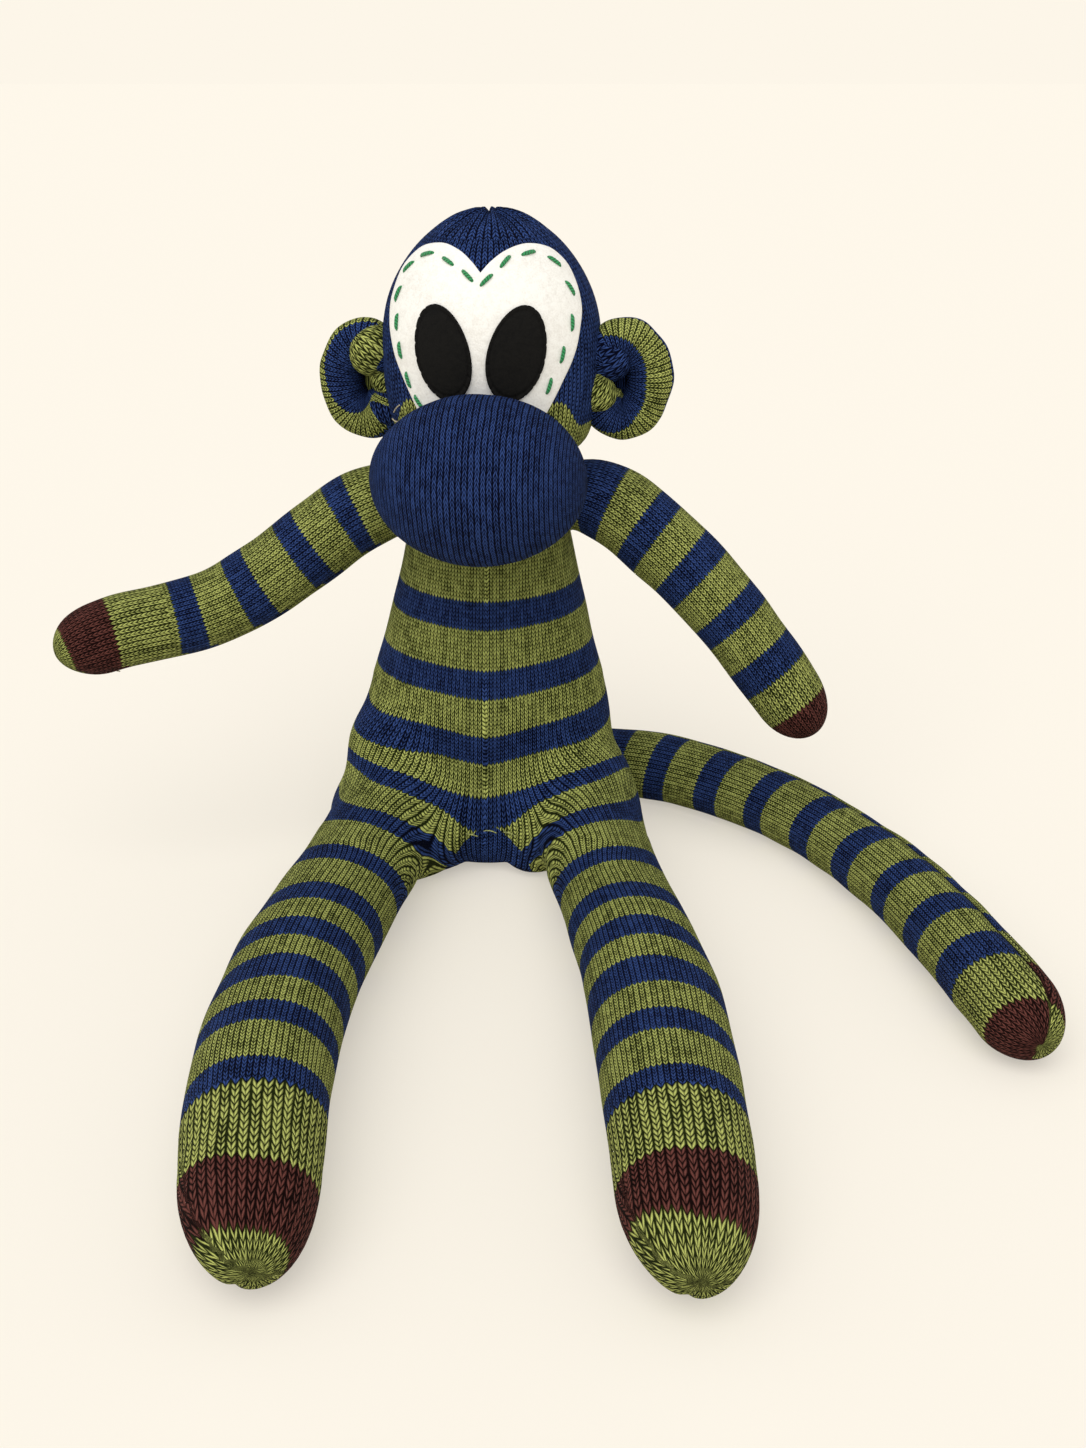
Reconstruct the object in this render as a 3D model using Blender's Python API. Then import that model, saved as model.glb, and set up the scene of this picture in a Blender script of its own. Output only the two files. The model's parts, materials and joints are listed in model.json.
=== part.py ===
"""A stuffed sock monkey doll, sitting with its legs forward, as it is sewn together.

Every stuffed piece is a knitted skin, open where it is sewn on, with its own stuffing inside.
Metres, +Z up, the face looks along -Y. Left and right are the doll's own. The origin is on the
floor, under the neck. An arm, a leg, the tail and the ears start in a ball whose centre lies on
the line that they turn about, and the body and the head have a hollow for each ball.
"""
import math

import bmesh
import bpy
import numpy as np
from mathutils import Matrix, Vector

# Cloth, thread and clearance
KNIT_WALL = 0.0015
FELT_THICKNESS = 0.0012
THREAD_RADIUS = 0.0008
GAP = 0.0003
FLOOR_FLAT = 0.0005
OVERRUN = 0.012

# Body: half sizes at its widest, and the height of the neck's centre over the floor
BODY_HALF_WIDTH = 0.0560
BODY_HALF_DEPTH = 0.0390
BODY_LEAN = 0.0060
BODY_SWAY = 0.0026
NECK_HEIGHT = 0.1540
NECK_DOME_RADIUS = 0.0305
# Rows of height, half width and half depth, from the seat to the neck's centre
BODY_SHARES = (
    (0.0, 0.64, 0.64), (0.022, 0.79, 0.79), (0.058, 0.91, 0.89), (0.125, 0.99, 0.97),
    (0.26, 1.0, 1.0), (0.385, 0.975, 1.0), (0.51, 0.89, 0.97), (0.65, 0.785, 0.91),
    (0.81, 0.675, 0.84), (0.91, 0.62, 0.805), (1.0, 0.56, 0.775))
DOME_ANGLES = (10.0, 27.0, 44.0, 60.0)
BODY_SIDES = 20

# Head: its widest ring lies above the neck's centre
HEAD_HALF_WIDTH = 0.0444
HEAD_DEPTH_SHARE = 0.955
HEAD_RISE = 0.0640
HEAD_WIDEST_HEIGHT = NECK_HEIGHT + HEAD_RISE
CROWN_RISE = 0.0525
CHIN_DROP = 0.0462
HEAD_SHIFT = 0.0021
HEAD_TURN = 5.0
# Rows of drop below the widest ring and half width, from the neck's mouth up
CHIN_SHARES = ((1.0, 0.56), (0.93, 0.71), (0.84, 0.83), (0.65, 0.925), (0.35, 0.985), (0.0, 1.0))
CROWN_ANGLES = (17.0, 33.0, 48.0, 62.0, 76.0)
HEAD_SIDES = 20

# Neck: the thread that gathers the head on to the body
NECK_THREAD_LATITUDE = 30.0
NECK_THREAD_STEPS = 24

# Muzzle, sewn on the front of the head: its middle lies ahead of the head and below its widest ring
MUZZLE_HALF_WIDTH = 0.0410
MUZZLE_HALF_HEIGHT = 0.0334
MUZZLE_HALF_DEPTH = 0.0340
MUZZLE_DROP = 0.0422
MUZZLE_AHEAD = 0.0136
MUZZLE_HEIGHT = HEAD_WIDEST_HEIGHT - MUZZLE_DROP
MUZZLE_FORWARD = HEAD_HALF_WIDTH * HEAD_DEPTH_SHARE + MUZZLE_AHEAD
MUZZLE_ANGLES = (-52.0, -30.0, -8.0, 14.0, 34.0, 52.0, 70.0)
MUZZLE_SIDES = 16

# Felt face patch: half outline, rows of half width and of rise over the widest ring
PATCH_SHARES = (
    (0.0, 0.615), (0.08, 0.685), (0.20, 0.755), (0.37, 0.79), (0.57, 0.74), (0.73, 0.59),
    (0.82, 0.38), (0.82, 0.20), (0.775, 0.02), (0.70, -0.13), (0.57, -0.35), (0.42, -0.56))
PATCH_WRAP = 66.0
PATCH_COLUMNS = 16
PATCH_ROWS = 14

# Felt eyes
EYE_HALF_WIDTH = 0.0115
EYE_HALF_HEIGHT = 0.0177
EYE_SPREAD = 0.0135
EYE_RISE = 0.0035
EYE_HEIGHT = HEAD_WIDEST_HEIGHT + EYE_RISE
EYE_LEAN = 12.5
EYE_POINT_SHARE = 0.16
EYE_SIDES = 20
EYE_COLUMNS = 10

# Running stitches round the patch: rows of half width, rise and slant in degrees
STITCH_LENGTH = 0.0060
STITCH_FORM_SHARES = ((-1.0, 0.45), (-0.7, 1.0), (0.7, 1.0), (1.0, 0.45))
STITCH_SHARES = (
    (-0.105, 0.59, -43), (-0.28, 0.675, -28), (-0.475, 0.705, 19), (-0.645, 0.61, 53),
    (-0.73, 0.43, 80), (-0.73, 0.245, 99), (-0.70, 0.055, 105), (-0.63, -0.15, 112),
    (-0.535, -0.30, 129), (0.055, 0.565, 45), (0.20, 0.68, 48), (0.38, 0.725, 11),
    (0.585, 0.66, -47), (0.72, 0.48, -68), (0.745, 0.255, 79), (0.675, 0.045, 74),
    (0.57, -0.17, 71))

# Ears: a stuffed strip curled into an open ring, its two ends sewn to the side of the head
EAR_TUBE_RADIUS = 0.0088
EAR_HALF_REACH = 0.0100
EAR_HALF_HEIGHT = 0.0158
EAR_CLEAR = 0.0101
EAR_OUT = HEAD_HALF_WIDTH + EAR_CLEAR
EAR_BACK = 0.0060
EAR_DROP = 0.0140
EAR_HEIGHT = HEAD_WIDEST_HEIGHT - EAR_DROP
EAR_END_ANGLE = 125.0
EAR_STEPS = 8
EAR_SIDES = 10

# Arms: rows are share of the length, degrees round from the front, degrees up
SHOULDER_INSET = 0.0250
SHOULDER_SPREAD = BODY_HALF_WIDTH - SHOULDER_INSET
SHOULDER_FORWARD = 0.0040
SHOULDER_RISE = 0.0010
SHOULDER_HEIGHT = NECK_HEIGHT + SHOULDER_RISE
ARM_RADIUS = 0.0162
ARM_GIRTH_SHARES = ((0.0, 0.78), (0.10, 0.93), (0.24, 1.0), (0.5, 0.98), (1.0, 0.97))
ARM_END = 0.0210
ARM_STEPS = 5
ARM_SIDES = 12
RIGHT_ARM_LENGTH = 0.1640
RIGHT_ARM_SHARES = (
    (0.0, 80, 10), (0.16, 77, -25), (0.42, 77, -31), (0.75, 67, -8), (1.0, 62, -20))
LEFT_ARM_LENGTH = 0.1520
LEFT_ARM_SHARES = ((0.0, 76, 22), (0.16, 69, -26), (0.36, 71, -39), (1.0, 58, -54))
RIGHT_ARM_SWING = (-32.0, 40.0)
LEFT_ARM_SWING = (-28.0, 40.0)
ARM_BEND_ROOM = 32.0

# Legs, lying on the floor: rows as for the arms
HIP_INSET = 0.0145
HIP_SPREAD = BODY_HALF_WIDTH - HIP_INSET
HIP_FRONT_INSET = 0.0090
HIP_FORWARD = BODY_HALF_DEPTH - HIP_FRONT_INSET
LEG_RADIUS = 0.0210
LEG_LENGTH = 0.2810
RIGHT_LEG_GIRTH_SHARES = ((0.0, 1.15), (0.22, 1.10), (0.50, 1.22), (0.78, 1.08), (1.0, 0.92))
LEFT_LEG_GIRTH_SHARES = ((0.0, 1.15), (0.22, 1.06), (0.56, 1.08), (1.0, 0.95))
LEG_END = 0.0260
LEG_STEPS = 7
LEG_SIDES = 14
RIGHT_LEG_SHARES = ((0.0, 7, 0), (0.3, 11, 0), (0.65, 2, 0), (1.0, -17, 0))
LEFT_LEG_SHARES = ((0.0, 4.5, 0), (0.3, 10.5, 0), (0.67, 1.5, 0), (1.0, -1, 0))
LEG_SWING = (-85.0, 25.0)

# Tail, lying on the floor
TAIL_SIDE = 0.0100
TAIL_INSET = 0.0050
TAIL_BACK = BODY_HALF_DEPTH - TAIL_INSET
TAIL_RADIUS = 0.0152
TAIL_LENGTH = 0.3370
TAIL_GIRTH_SHARES = ((0.0, 0.92), (0.12, 1.0), (0.5, 0.98), (1.0, 1.06))
TAIL_SHARES = ((0.0, 118, 0), (0.12, 90, 0), (0.35, 43, 0), (0.65, 17, 0), (1.0, 22, 0))
TAIL_END = 0.0220
TAIL_STEPS = 9
TAIL_SIDES = 12
TAIL_SWING = (-10.0, 75.0)
TAIL_BEND_ROOM = 28.0

# Fineness of hollows, outlines and routes
BALL_SIDES = 20
BALL_RINGS = 12
ROOM_SLICES = 8
ROOM_ARC = 6
OUTLINE_POINTS = 40
ROUTE_STEPS = 80
THREAD_SIDES = 6
BALL_ANGLES = (-52.0, -26.0, 0.0)
END_ANGLES = (28.0, 52.0, 74.0)

LEFT = 1.0
RIGHT = -1.0
UP = Vector((0.0, 0.0, 1.0))
ACROSS = Vector((1.0, 0.0, 0.0))
BACKWARD = Vector((0.0, 1.0, 0.0))

# Colour and roughness of each kind of cloth and thread
FINISHES = {
    "green_knit": ((0.19, 0.27, 0.045, 1.0), 0.9),
    "navy_knit": ((0.015, 0.034, 0.16, 1.0), 0.9),
    "white_felt": ((0.88, 0.86, 0.80, 1.0), 0.95),
    "black_felt": ((0.012, 0.012, 0.013, 1.0), 0.95),
    "green_thread": ((0.012, 0.22, 0.06, 1.0), 0.8),
    "natural_thread": ((0.60, 0.53, 0.40, 1.0), 0.8),
    "stuffing": ((0.80, 0.78, 0.72, 1.0), 1.0),
}


def clear_scene():
    """Remove whatever the scene holds."""
    for thing in list(bpy.data.objects):
        bpy.data.objects.remove(thing, do_unlink=True)


def material(name, finish):
    """A plain cloth or thread material for one piece."""
    colour, roughness = FINISHES[finish]
    made = bpy.data.materials.new(name)
    made.use_nodes = True
    shader = made.node_tree.nodes["Principled BSDF"]
    shader.inputs["Base Color"].default_value = colour
    shader.inputs["Roughness"].default_value = roughness
    shader.inputs["Metallic"].default_value = 0.0
    made.diffuse_color = colour
    return made


def eased(rows, share):
    """Values of a table whose rows start with a share, eased through its rows."""
    table = np.array(rows, float)
    shares, values = table[:, 0], table[:, 1:]
    slopes = np.gradient(values, shares, axis=0)
    row = int(np.clip(np.searchsorted(shares, share) - 1, 0, len(shares) - 2))
    span = shares[row + 1] - shares[row]
    t = (share - shares[row]) / span
    start = (1 + 2 * t) * (1 - t) ** 2 * values[row] + t * (1 - t) ** 2 * span * slopes[row]
    end = t * t * (3 - 2 * t) * values[row + 1] + t * t * (t - 1) * span * slopes[row + 1]
    return start + end


def heading(side, around, rise):
    """Direction that is turned round from the front to the given side, and raised."""
    flat = math.cos(math.radians(rise))
    return Vector((side * math.sin(math.radians(around)) * flat,
                   -math.cos(math.radians(around)) * flat,
                   math.sin(math.radians(rise))))


def station(centre, direction, up):
    """Frame of a ring: its axis runs along direction, and its first axis lies level."""
    level = direction.cross(up).normalized()
    frame = Matrix((level, direction.cross(level), direction)).transposed().to_4x4()
    frame.translation = centre
    return frame


def inset(rings, depth):
    """Draw rings of (frame, half x, half y) in by a depth, square to the surface."""
    drawn = []
    for number, (frame, half_x, half_y) in enumerate(rings):
        before = rings[max(number - 1, 0)]
        after = rings[min(number + 1, len(rings) - 1)]
        axis = frame.col[2].to_3d()
        along = (after[0].translation - before[0].translation).dot(axis)
        wider = (after[1] + after[2] - before[1] - before[2]) / 2
        slope = math.hypot(along, wider)
        moved = frame.copy()
        if number:
            moved.translation = frame.translation + axis * (depth * wider / slope)
        drawn.append((moved, half_x - depth * along / slope, half_y - depth * along / slope))
    return drawn


def ring_points(ring, sides):
    """Points of a ring that has a flat side, not a corner, at its lowest place."""
    frame, half_x, half_y = ring
    points = []
    for number in range(sides):
        angle = math.pi * (2 * number + 1) / sides - math.pi / 2
        points.append(frame @ Vector((half_x * math.cos(angle), half_y * math.sin(angle), 0.0)))
    return points


def loft(bm, outlines):
    """Extrude a circle from outline to outline, and return its first and last edges."""
    verts = bmesh.ops.create_circle(bm, segments=len(outlines[0]), radius=OVERRUN)["verts"]
    edges = list({edge for vert in verts for edge in vert.link_edges})
    first = edges
    for vert, point in zip(verts, outlines[0]):
        vert.co = point
    for outline in outlines[1:]:
        grown = bmesh.ops.extrude_edge_only(bm, edges=edges)["geom"]
        fresh = {thing for thing in grown if isinstance(thing, bmesh.types.BMVert)}
        edges = [thing for thing in grown if isinstance(thing, bmesh.types.BMEdge)]
        verts = [next(edge.other_vert(vert) for edge in vert.link_edges
                      if edge.other_vert(vert) in fresh) for vert in verts]
        for vert, point in zip(verts, outline):
            vert.co = point
    return first, edges


def cap(bm, edges, centre):
    """Close a loop of edges with a fan about a centre."""
    face = bmesh.ops.contextual_create(bm, geom=edges)["faces"][0]
    bmesh.ops.poke(bm, faces=[face])["verts"][0].co = centre


def middle(outline):
    """Middle of an outline's points."""
    return sum(outline, Vector()) / len(outline)


def rest_on_floor(outlines, lowest):
    """Flatten what would reach below a level."""
    for outline in outlines:
        for point in outline:
            point.z = max(point.z, lowest)


def surface(rings, tip, sides, depth):
    """Outlines of a form drawn in by a depth, and the place of its closed end."""
    drawn = inset(rings, depth)
    outlines = [ring_points(ring, sides) for ring in drawn]
    end = tip - rings[-1][0].col[2].to_3d() * depth
    rest_on_floor(outlines, max(depth, 0.0))
    end.z = max(end.z, depth, 0.0)
    return outlines, end


def finish(bm, name, kind, pivot):
    """Make a named object of a mesh, with its origin on the line that it turns about."""
    bmesh.ops.recalc_face_normals(bm, faces=bm.faces)
    bmesh.ops.translate(bm, vec=-pivot, verts=bm.verts)
    mesh = bpy.data.meshes.new(name)
    bm.to_mesh(mesh)
    bm.free()
    mesh.shade_smooth()
    made = bpy.data.objects.new(name, mesh)
    made.location = pivot
    bpy.context.scene.collection.objects.link(made)
    if kind:
        mesh.materials.append(material(name, kind))
    return made


def knitted_skin(name, form, kind, pivot):
    """A skin of knitted cloth, open at the ring that is sewn on."""
    rings, tip, sides = form
    bm = bmesh.new()
    outer, outer_tip = surface(rings, tip, sides, 0.0)
    inner, inner_tip = surface(rings, tip, sides, KNIT_WALL)
    outer_end, inner_end = loft(bm, outer[::-1] + inner)
    cap(bm, outer_end, outer_tip)
    cap(bm, inner_end, inner_tip)
    return finish(bm, name, kind, pivot)


def solid(name, form, kind, pivot, depth):
    """A closed body of a form drawn in by a depth."""
    rings, tip, sides = form
    bm = bmesh.new()
    outlines, end = surface(rings, tip, sides, depth)
    mouth, last = loft(bm, outlines)
    cap(bm, last, end)
    cap(bm, mouth, middle(outlines[0]))
    return finish(bm, name, kind, pivot)


def stuffed(name, form, kind, pivot):
    """The skin and the stuffing of one stuffed piece."""
    skin = knitted_skin(name + "_skin", form, kind, pivot)
    core = solid(name + "_stuffing", form, "stuffing", pivot, KNIT_WALL + GAP)
    return skin, core


def hide(cutter):
    """Keep a cutter out of the finished doll."""
    cutter.hide_render = True
    cutter.display_type = "WIRE"
    return cutter


def cut(pieces, cutter, operation="DIFFERENCE"):
    """Cut pieces with another object."""
    for piece in pieces:
        modifier = piece.modifiers.new(cutter.name, "BOOLEAN")
        modifier.operation = operation
        modifier.solver = "EXACT"
        modifier.object = cutter


def roomy(radius):
    """Radius of a faceted ball whose flats clear a ball of the given radius."""
    return (radius + GAP) / (math.cos(math.pi / BALL_SIDES) * math.cos(math.pi / (2 * BALL_RINGS)))


def ball_hollow(name, centre, radius):
    """Cutter for the hollow of a ball."""
    bm = bmesh.new()
    bmesh.ops.create_uvsphere(bm, u_segments=BALL_SIDES, v_segments=BALL_RINGS,
                              radius=roomy(radius), matrix=Matrix.Translation(centre))
    return hide(finish(bm, name, None, Vector()))


def swing_room(name, pivot, axis, direction, swing, radius, reach):
    """Cutter for all the room that a round limb sweeps, from one limit to the other."""
    low, high = (math.radians(angle) for angle in swing)
    level = (direction - axis * direction.dot(axis)).normalized()
    rise = axis.cross(level)

    def ray(angle):
        return level * math.cos(angle) + rise * math.sin(angle)

    wide = roomy(radius)
    quarter = math.pi / 2
    outlines = []
    for slice_number in range(ROOM_SLICES + 1):
        around = math.pi * slice_number / ROOM_SLICES
        thick = wide * max(math.sin(around), GAP / wide)
        centre = pivot - axis * (wide * math.cos(around))
        back_turn = 2 * math.pi - (high - low) - math.pi
        outline = [centre + ray(high + quarter + back_turn * step / ROOM_ARC) * thick
                   for step in range(ROOM_ARC + 1)]
        outline.append(outline[-1] + ray(low) * reach)
        outline += [centre + ray(low + (high - low) * (step + 1) / ROOM_ARC) * reach
                    for step in range(ROOM_ARC - 1)]
        outline.append(outline[0] + ray(high) * reach)
        outlines.append(outline)
    bm = bmesh.new()
    first, last = loft(bm, outlines)
    bmesh.ops.contextual_create(bm, geom=first)
    bmesh.ops.contextual_create(bm, geom=last)
    return hide(finish(bm, name, None, Vector()))


def route(start, side, length, rows):
    """Points and directions along a limb's middle line."""
    points, directions = [start.copy()], [heading(side, *eased(rows, 0.0))]
    for step in range(1, ROUTE_STEPS + 1):
        directions.append(heading(side, *eased(rows, step / ROUTE_STEPS)))
        mean = (directions[-1] + directions[-2]) / 2
        points.append(points[-1] + mean * (length / ROUTE_STEPS))
    return points, directions


def along(path, length, distance):
    """Place and direction at a distance along a route, straight on before its start."""
    points, directions = path
    if distance <= 0:
        return points[0] + directions[0] * distance, directions[0]
    place = min(distance / length, 1.0) * ROUTE_STEPS
    step = min(int(place), ROUTE_STEPS - 1)
    part = place - step
    return points[step].lerp(points[step + 1], part), \
        directions[step].lerp(directions[step + 1], part).normalized()


def floor_height(radius, sides):
    """Height of the middle of a faceted tube that rests on the floor, a little flattened."""
    return radius * math.cos(math.pi / sides) - FLOOR_FLAT


def limb_form(start, side, length, rows, radius, girth, end, steps, sides, lies):
    """Rings of a limb: a ball on its joint, a tube that swells and tapers, a rounded end."""
    path = route(start, side, length, rows)
    ball = radius * girth[0][1]
    profile = [(ball * math.sin(math.radians(angle)), ball * math.cos(math.radians(angle)))
               for angle in BALL_ANGLES]
    body = length - end
    profile += [(body * step / steps, radius * float(eased(girth, body * step / steps / length)[0]))
                for step in range(1, steps + 1)]
    blunt = profile[-1][1]
    profile += [(body + end * math.sin(math.radians(angle)), blunt * math.cos(math.radians(angle)))
                for angle in END_ANGLES]
    rings = []
    for distance, half in profile:
        centre, direction = along(path, length, distance)
        if lies:
            share = min(max(distance / length, 0.0), 1.0)
            centre.z = floor_height(radius * float(eased(girth, share)[0]), sides)
        rings.append((station(centre, direction, UP), half, half))
    tip = rings[-1][0].translation + path[1][-1] * (length - profile[-1][0])
    return rings, tip, sides


def body_form():
    """Rings of the body, from the open neck down to the seat."""
    rings = []
    centre = Vector((0.0, 0.0, NECK_HEIGHT))
    for angle in reversed(DOME_ANGLES):
        rise = NECK_DOME_RADIUS * math.sin(math.radians(angle))
        half = NECK_DOME_RADIUS * math.cos(math.radians(angle))
        rings.append((station(centre + UP * rise, -UP, BACKWARD), half, half))
    for height, width, depth in reversed(BODY_SHARES):
        place = Vector((-BODY_SWAY * (1 - height), -BODY_LEAN * (1 - height), NECK_HEIGHT * height))
        rings.append((station(place, -UP, BACKWARD),
                      BODY_HALF_WIDTH * width, BODY_HALF_DEPTH * depth))
    return rings, rings[-1][0].translation.copy(), BODY_SIDES


def head_half_width(height):
    """Half width of the head at a height over the floor."""
    rise = height - HEAD_WIDEST_HEIGHT
    if rise >= 0:
        return HEAD_HALF_WIDTH * math.sqrt(max(1 - (rise / CROWN_RISE) ** 2, 0.0))
    rows = tuple(reversed(CHIN_SHARES))
    return HEAD_HALF_WIDTH * float(eased(rows, min(-rise / CHIN_DROP, 1.0))[0])


def head_frame():
    """Placement of the head: a little aside of the neck, and turned."""
    return Matrix.Translation((HEAD_SHIFT, 0.0, 0.0)) @ Matrix.Rotation(
        math.radians(-HEAD_TURN), 4, "Z")


def head_form():
    """Rings of the head, from its open neck up to the crown."""
    heights = [HEAD_WIDEST_HEIGHT - CHIN_DROP * drop for drop, width in CHIN_SHARES]
    heights += [HEAD_WIDEST_HEIGHT + CROWN_RISE * math.sin(math.radians(angle))
                for angle in CROWN_ANGLES]
    rings = []
    for height in heights:
        half = head_half_width(height)
        frame = head_frame() @ station(UP * height, UP, BACKWARD)
        rings.append((frame, half, half * HEAD_DEPTH_SHARE))
    tip = head_frame() @ (UP * (HEAD_WIDEST_HEIGHT + CROWN_RISE))
    return rings, tip, HEAD_SIDES


def muzzle_form():
    """Rings of the muzzle, from its open back to its front."""
    rings = []
    for angle in MUZZLE_ANGLES:
        ahead = MUZZLE_FORWARD + MUZZLE_HALF_DEPTH * math.sin(math.radians(angle))
        swell = math.cos(math.radians(angle))
        frame = head_frame() @ station(UP * MUZZLE_HEIGHT - BACKWARD * ahead, -BACKWARD, UP)
        rings.append((frame, MUZZLE_HALF_WIDTH * swell, MUZZLE_HALF_HEIGHT * swell))
    front = MUZZLE_FORWARD + MUZZLE_HALF_DEPTH
    tip = head_frame() @ (UP * MUZZLE_HEIGHT - BACKWARD * front)
    return rings, tip, MUZZLE_SIDES


def ear_form(side):
    """Rings of an ear: a tube along most of an upright oval, and its two ends' places."""
    def place(degrees):
        angle = math.radians(degrees)
        return Vector((side * (EAR_OUT + EAR_HALF_REACH * math.cos(angle)), EAR_BACK,
                       EAR_HEIGHT + EAR_HALF_HEIGHT * math.sin(angle)))

    def course(degrees):
        angle = math.radians(degrees)
        return Vector((-side * EAR_HALF_REACH * math.sin(angle), 0.0,
                       EAR_HALF_HEIGHT * math.cos(angle))).normalized()

    head = head_frame()
    rings = []
    for angle in BALL_ANGLES:
        turn = math.radians(angle)
        centre = place(-EAR_END_ANGLE) + course(-EAR_END_ANGLE) * EAR_TUBE_RADIUS * math.sin(turn)
        half = EAR_TUBE_RADIUS * math.cos(turn)
        rings.append((head @ station(centre, course(-EAR_END_ANGLE), BACKWARD), half, half))
    for step in range(1, EAR_STEPS + 1):
        angle = EAR_END_ANGLE * (2 * step / EAR_STEPS - 1)
        frame = head @ station(place(angle), course(angle), BACKWARD)
        rings.append((frame, EAR_TUBE_RADIUS, EAR_TUBE_RADIUS))
    for angle in END_ANGLES:
        turn = math.radians(angle)
        centre = place(EAR_END_ANGLE) + course(EAR_END_ANGLE) * EAR_TUBE_RADIUS * math.sin(turn)
        half = EAR_TUBE_RADIUS * math.cos(turn)
        rings.append((head @ station(centre, course(EAR_END_ANGLE), BACKWARD), half, half))
    tip = head @ (place(EAR_END_ANGLE) + course(EAR_END_ANGLE) * EAR_TUBE_RADIUS)
    ends = [head @ place(-EAR_END_ANGLE), head @ place(EAR_END_ANGLE)]
    return (rings, tip, EAR_SIDES), ends


def on_head(across, height, level):
    """Place on the front of the head at a share of turn, and the way that it faces."""
    def skin(turn, up):
        half = head_half_width(up)
        return Vector((half * math.sin(turn), -half * HEAD_DEPTH_SHARE * math.cos(turn), up))

    here = skin(across, height)
    sideways = skin(across + GAP / HEAD_HALF_WIDTH, height) - here
    upwards = skin(across, height + GAP) - here
    outward = sideways.cross(upwards).normalized()
    return here + outward * level, outward


def front_turn(offset, height):
    """Turn round the head at which its front shows a given offset from the middle."""
    return math.asin(max(min(offset / head_half_width(height), 1.0), -1.0))


def felt(name, outline, level, kind, columns, rows, low, high, wrap):
    """A felt piece that lies on the head: a bent sheet cut to an outline seen from the front."""
    bm = bmesh.new()
    bmesh.ops.create_grid(bm, x_segments=columns, y_segments=rows, size=1.0)
    for vert in bm.verts:
        height = low + (high - low) * (vert.co.y + 1.0) / 2
        turn = wrap[0] + (wrap[1] - wrap[0]) * (vert.co.x + 1.0) / 2
        vert.co = on_head(turn, height, level)[0]
    bmesh.ops.recalc_face_normals(bm, faces=bm.faces)
    bmesh.ops.solidify(bm, geom=bm.faces[:], thickness=-FELT_THICKNESS)
    bmesh.ops.transform(bm, matrix=head_frame(), verts=bm.verts)
    sheet = finish(bm, name, kind, Vector((0.0, 0.0, NECK_HEIGHT)))
    bm = bmesh.new()
    near, far = HEAD_HALF_WIDTH + OVERRUN, GAP
    mouth, last = loft(bm, [[head_frame() @ Vector((x, -ahead, z)) for x, z in outline]
                            for ahead in (near, far)])
    bmesh.ops.contextual_create(bm, geom=mouth)
    bmesh.ops.contextual_create(bm, geom=last)
    cut([sheet], hide(finish(bm, name + "_outline", None, Vector())), "INTERSECT")
    return sheet


def patch_outline():
    """Outline of the face patch, two lobes with a notch, eased through its half table."""
    half = [(HEAD_HALF_WIDTH * across, HEAD_WIDEST_HEIGHT + CROWN_RISE * rise)
            for across, rise in PATCH_SHARES]
    rows = [(number / (len(half) - 1), x, z) for number, (x, z) in enumerate(half)]
    count = OUTLINE_POINTS // 2
    right_half = [tuple(eased(rows, number / count)) for number in range(count + 1)]
    return right_half + [(-x, z) for x, z in reversed(right_half[1:])]


def eye_outline(side):
    """Outline of an eye: an egg that leans in at its foot."""
    points = []
    lean = math.radians(EYE_LEAN) * side
    for number in range(EYE_SIDES):
        angle = 2 * math.pi * number / EYE_SIDES
        across = EYE_HALF_WIDTH * math.cos(angle) * (1 + EYE_POINT_SHARE * math.sin(angle))
        up = EYE_HALF_HEIGHT * math.sin(angle)
        points.append((side * EYE_SPREAD + across * math.cos(lean) + up * math.sin(lean),
                       EYE_HEIGHT + up * math.cos(lean) - across * math.sin(lean)))
    return points


def make_face():
    """The patch, the two eyes on it and the stitches that hold it."""
    outline = patch_outline()
    low = min(z for x, z in outline) - FELT_THICKNESS
    high = max(z for x, z in outline) + FELT_THICKNESS
    wrap = math.radians(PATCH_WRAP)
    patch = felt("face_patch", outline, GAP, "white_felt", PATCH_COLUMNS, PATCH_ROWS,
                 low, high, (-wrap, wrap))
    pieces = [patch]
    level = GAP + FELT_THICKNESS + GAP
    for side, name in ((LEFT, "eye_left"), (RIGHT, "eye_right")):
        eye = eye_outline(side)
        low = min(z for x, z in eye) - FELT_THICKNESS
        high = max(z for x, z in eye) + FELT_THICKNESS
        turns = [front_turn(x, EYE_HEIGHT) for x, z in eye]
        spare = FELT_THICKNESS / HEAD_HALF_WIDTH
        pieces.append(felt(name, eye, level, "black_felt", EYE_COLUMNS, EYE_COLUMNS,
                           low, high, (min(turns) - spare, max(turns) + spare)))
    cut(pieces, hide(solid("muzzle_room", muzzle_form(), None, Vector(), -GAP)))
    for number, (across, rise, slant) in enumerate(STITCH_SHARES):
        make_stitch("face_stitch_%02d" % (number + 1), across, rise, slant, level)


def make_stitch(name, across, rise, slant, level):
    """One running stitch: a short plump length of thread on the patch."""
    height = HEAD_WIDEST_HEIGHT + CROWN_RISE * rise
    turn = front_turn(HEAD_HALF_WIDTH * across, height)
    centre, outward = on_head(turn, height, level + THREAD_RADIUS)
    sideways = UP.cross(outward).normalized()
    course = Matrix.Rotation(math.radians(slant), 3, outward) @ sideways
    bm = bmesh.new()
    outlines = []
    for place, plump in STITCH_FORM_SHARES:
        spot = centre + course * (STITCH_LENGTH / 2 * place)
        half = THREAD_RADIUS * plump
        frame = head_frame() @ station(spot, course, outward)
        outlines.append(ring_points((frame, half, half), THREAD_SIDES))
    first, last = loft(bm, outlines)
    bmesh.ops.contextual_create(bm, geom=first)
    bmesh.ops.contextual_create(bm, geom=last)
    return finish(bm, name, "green_thread", Vector((0.0, 0.0, NECK_HEIGHT)))


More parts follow.
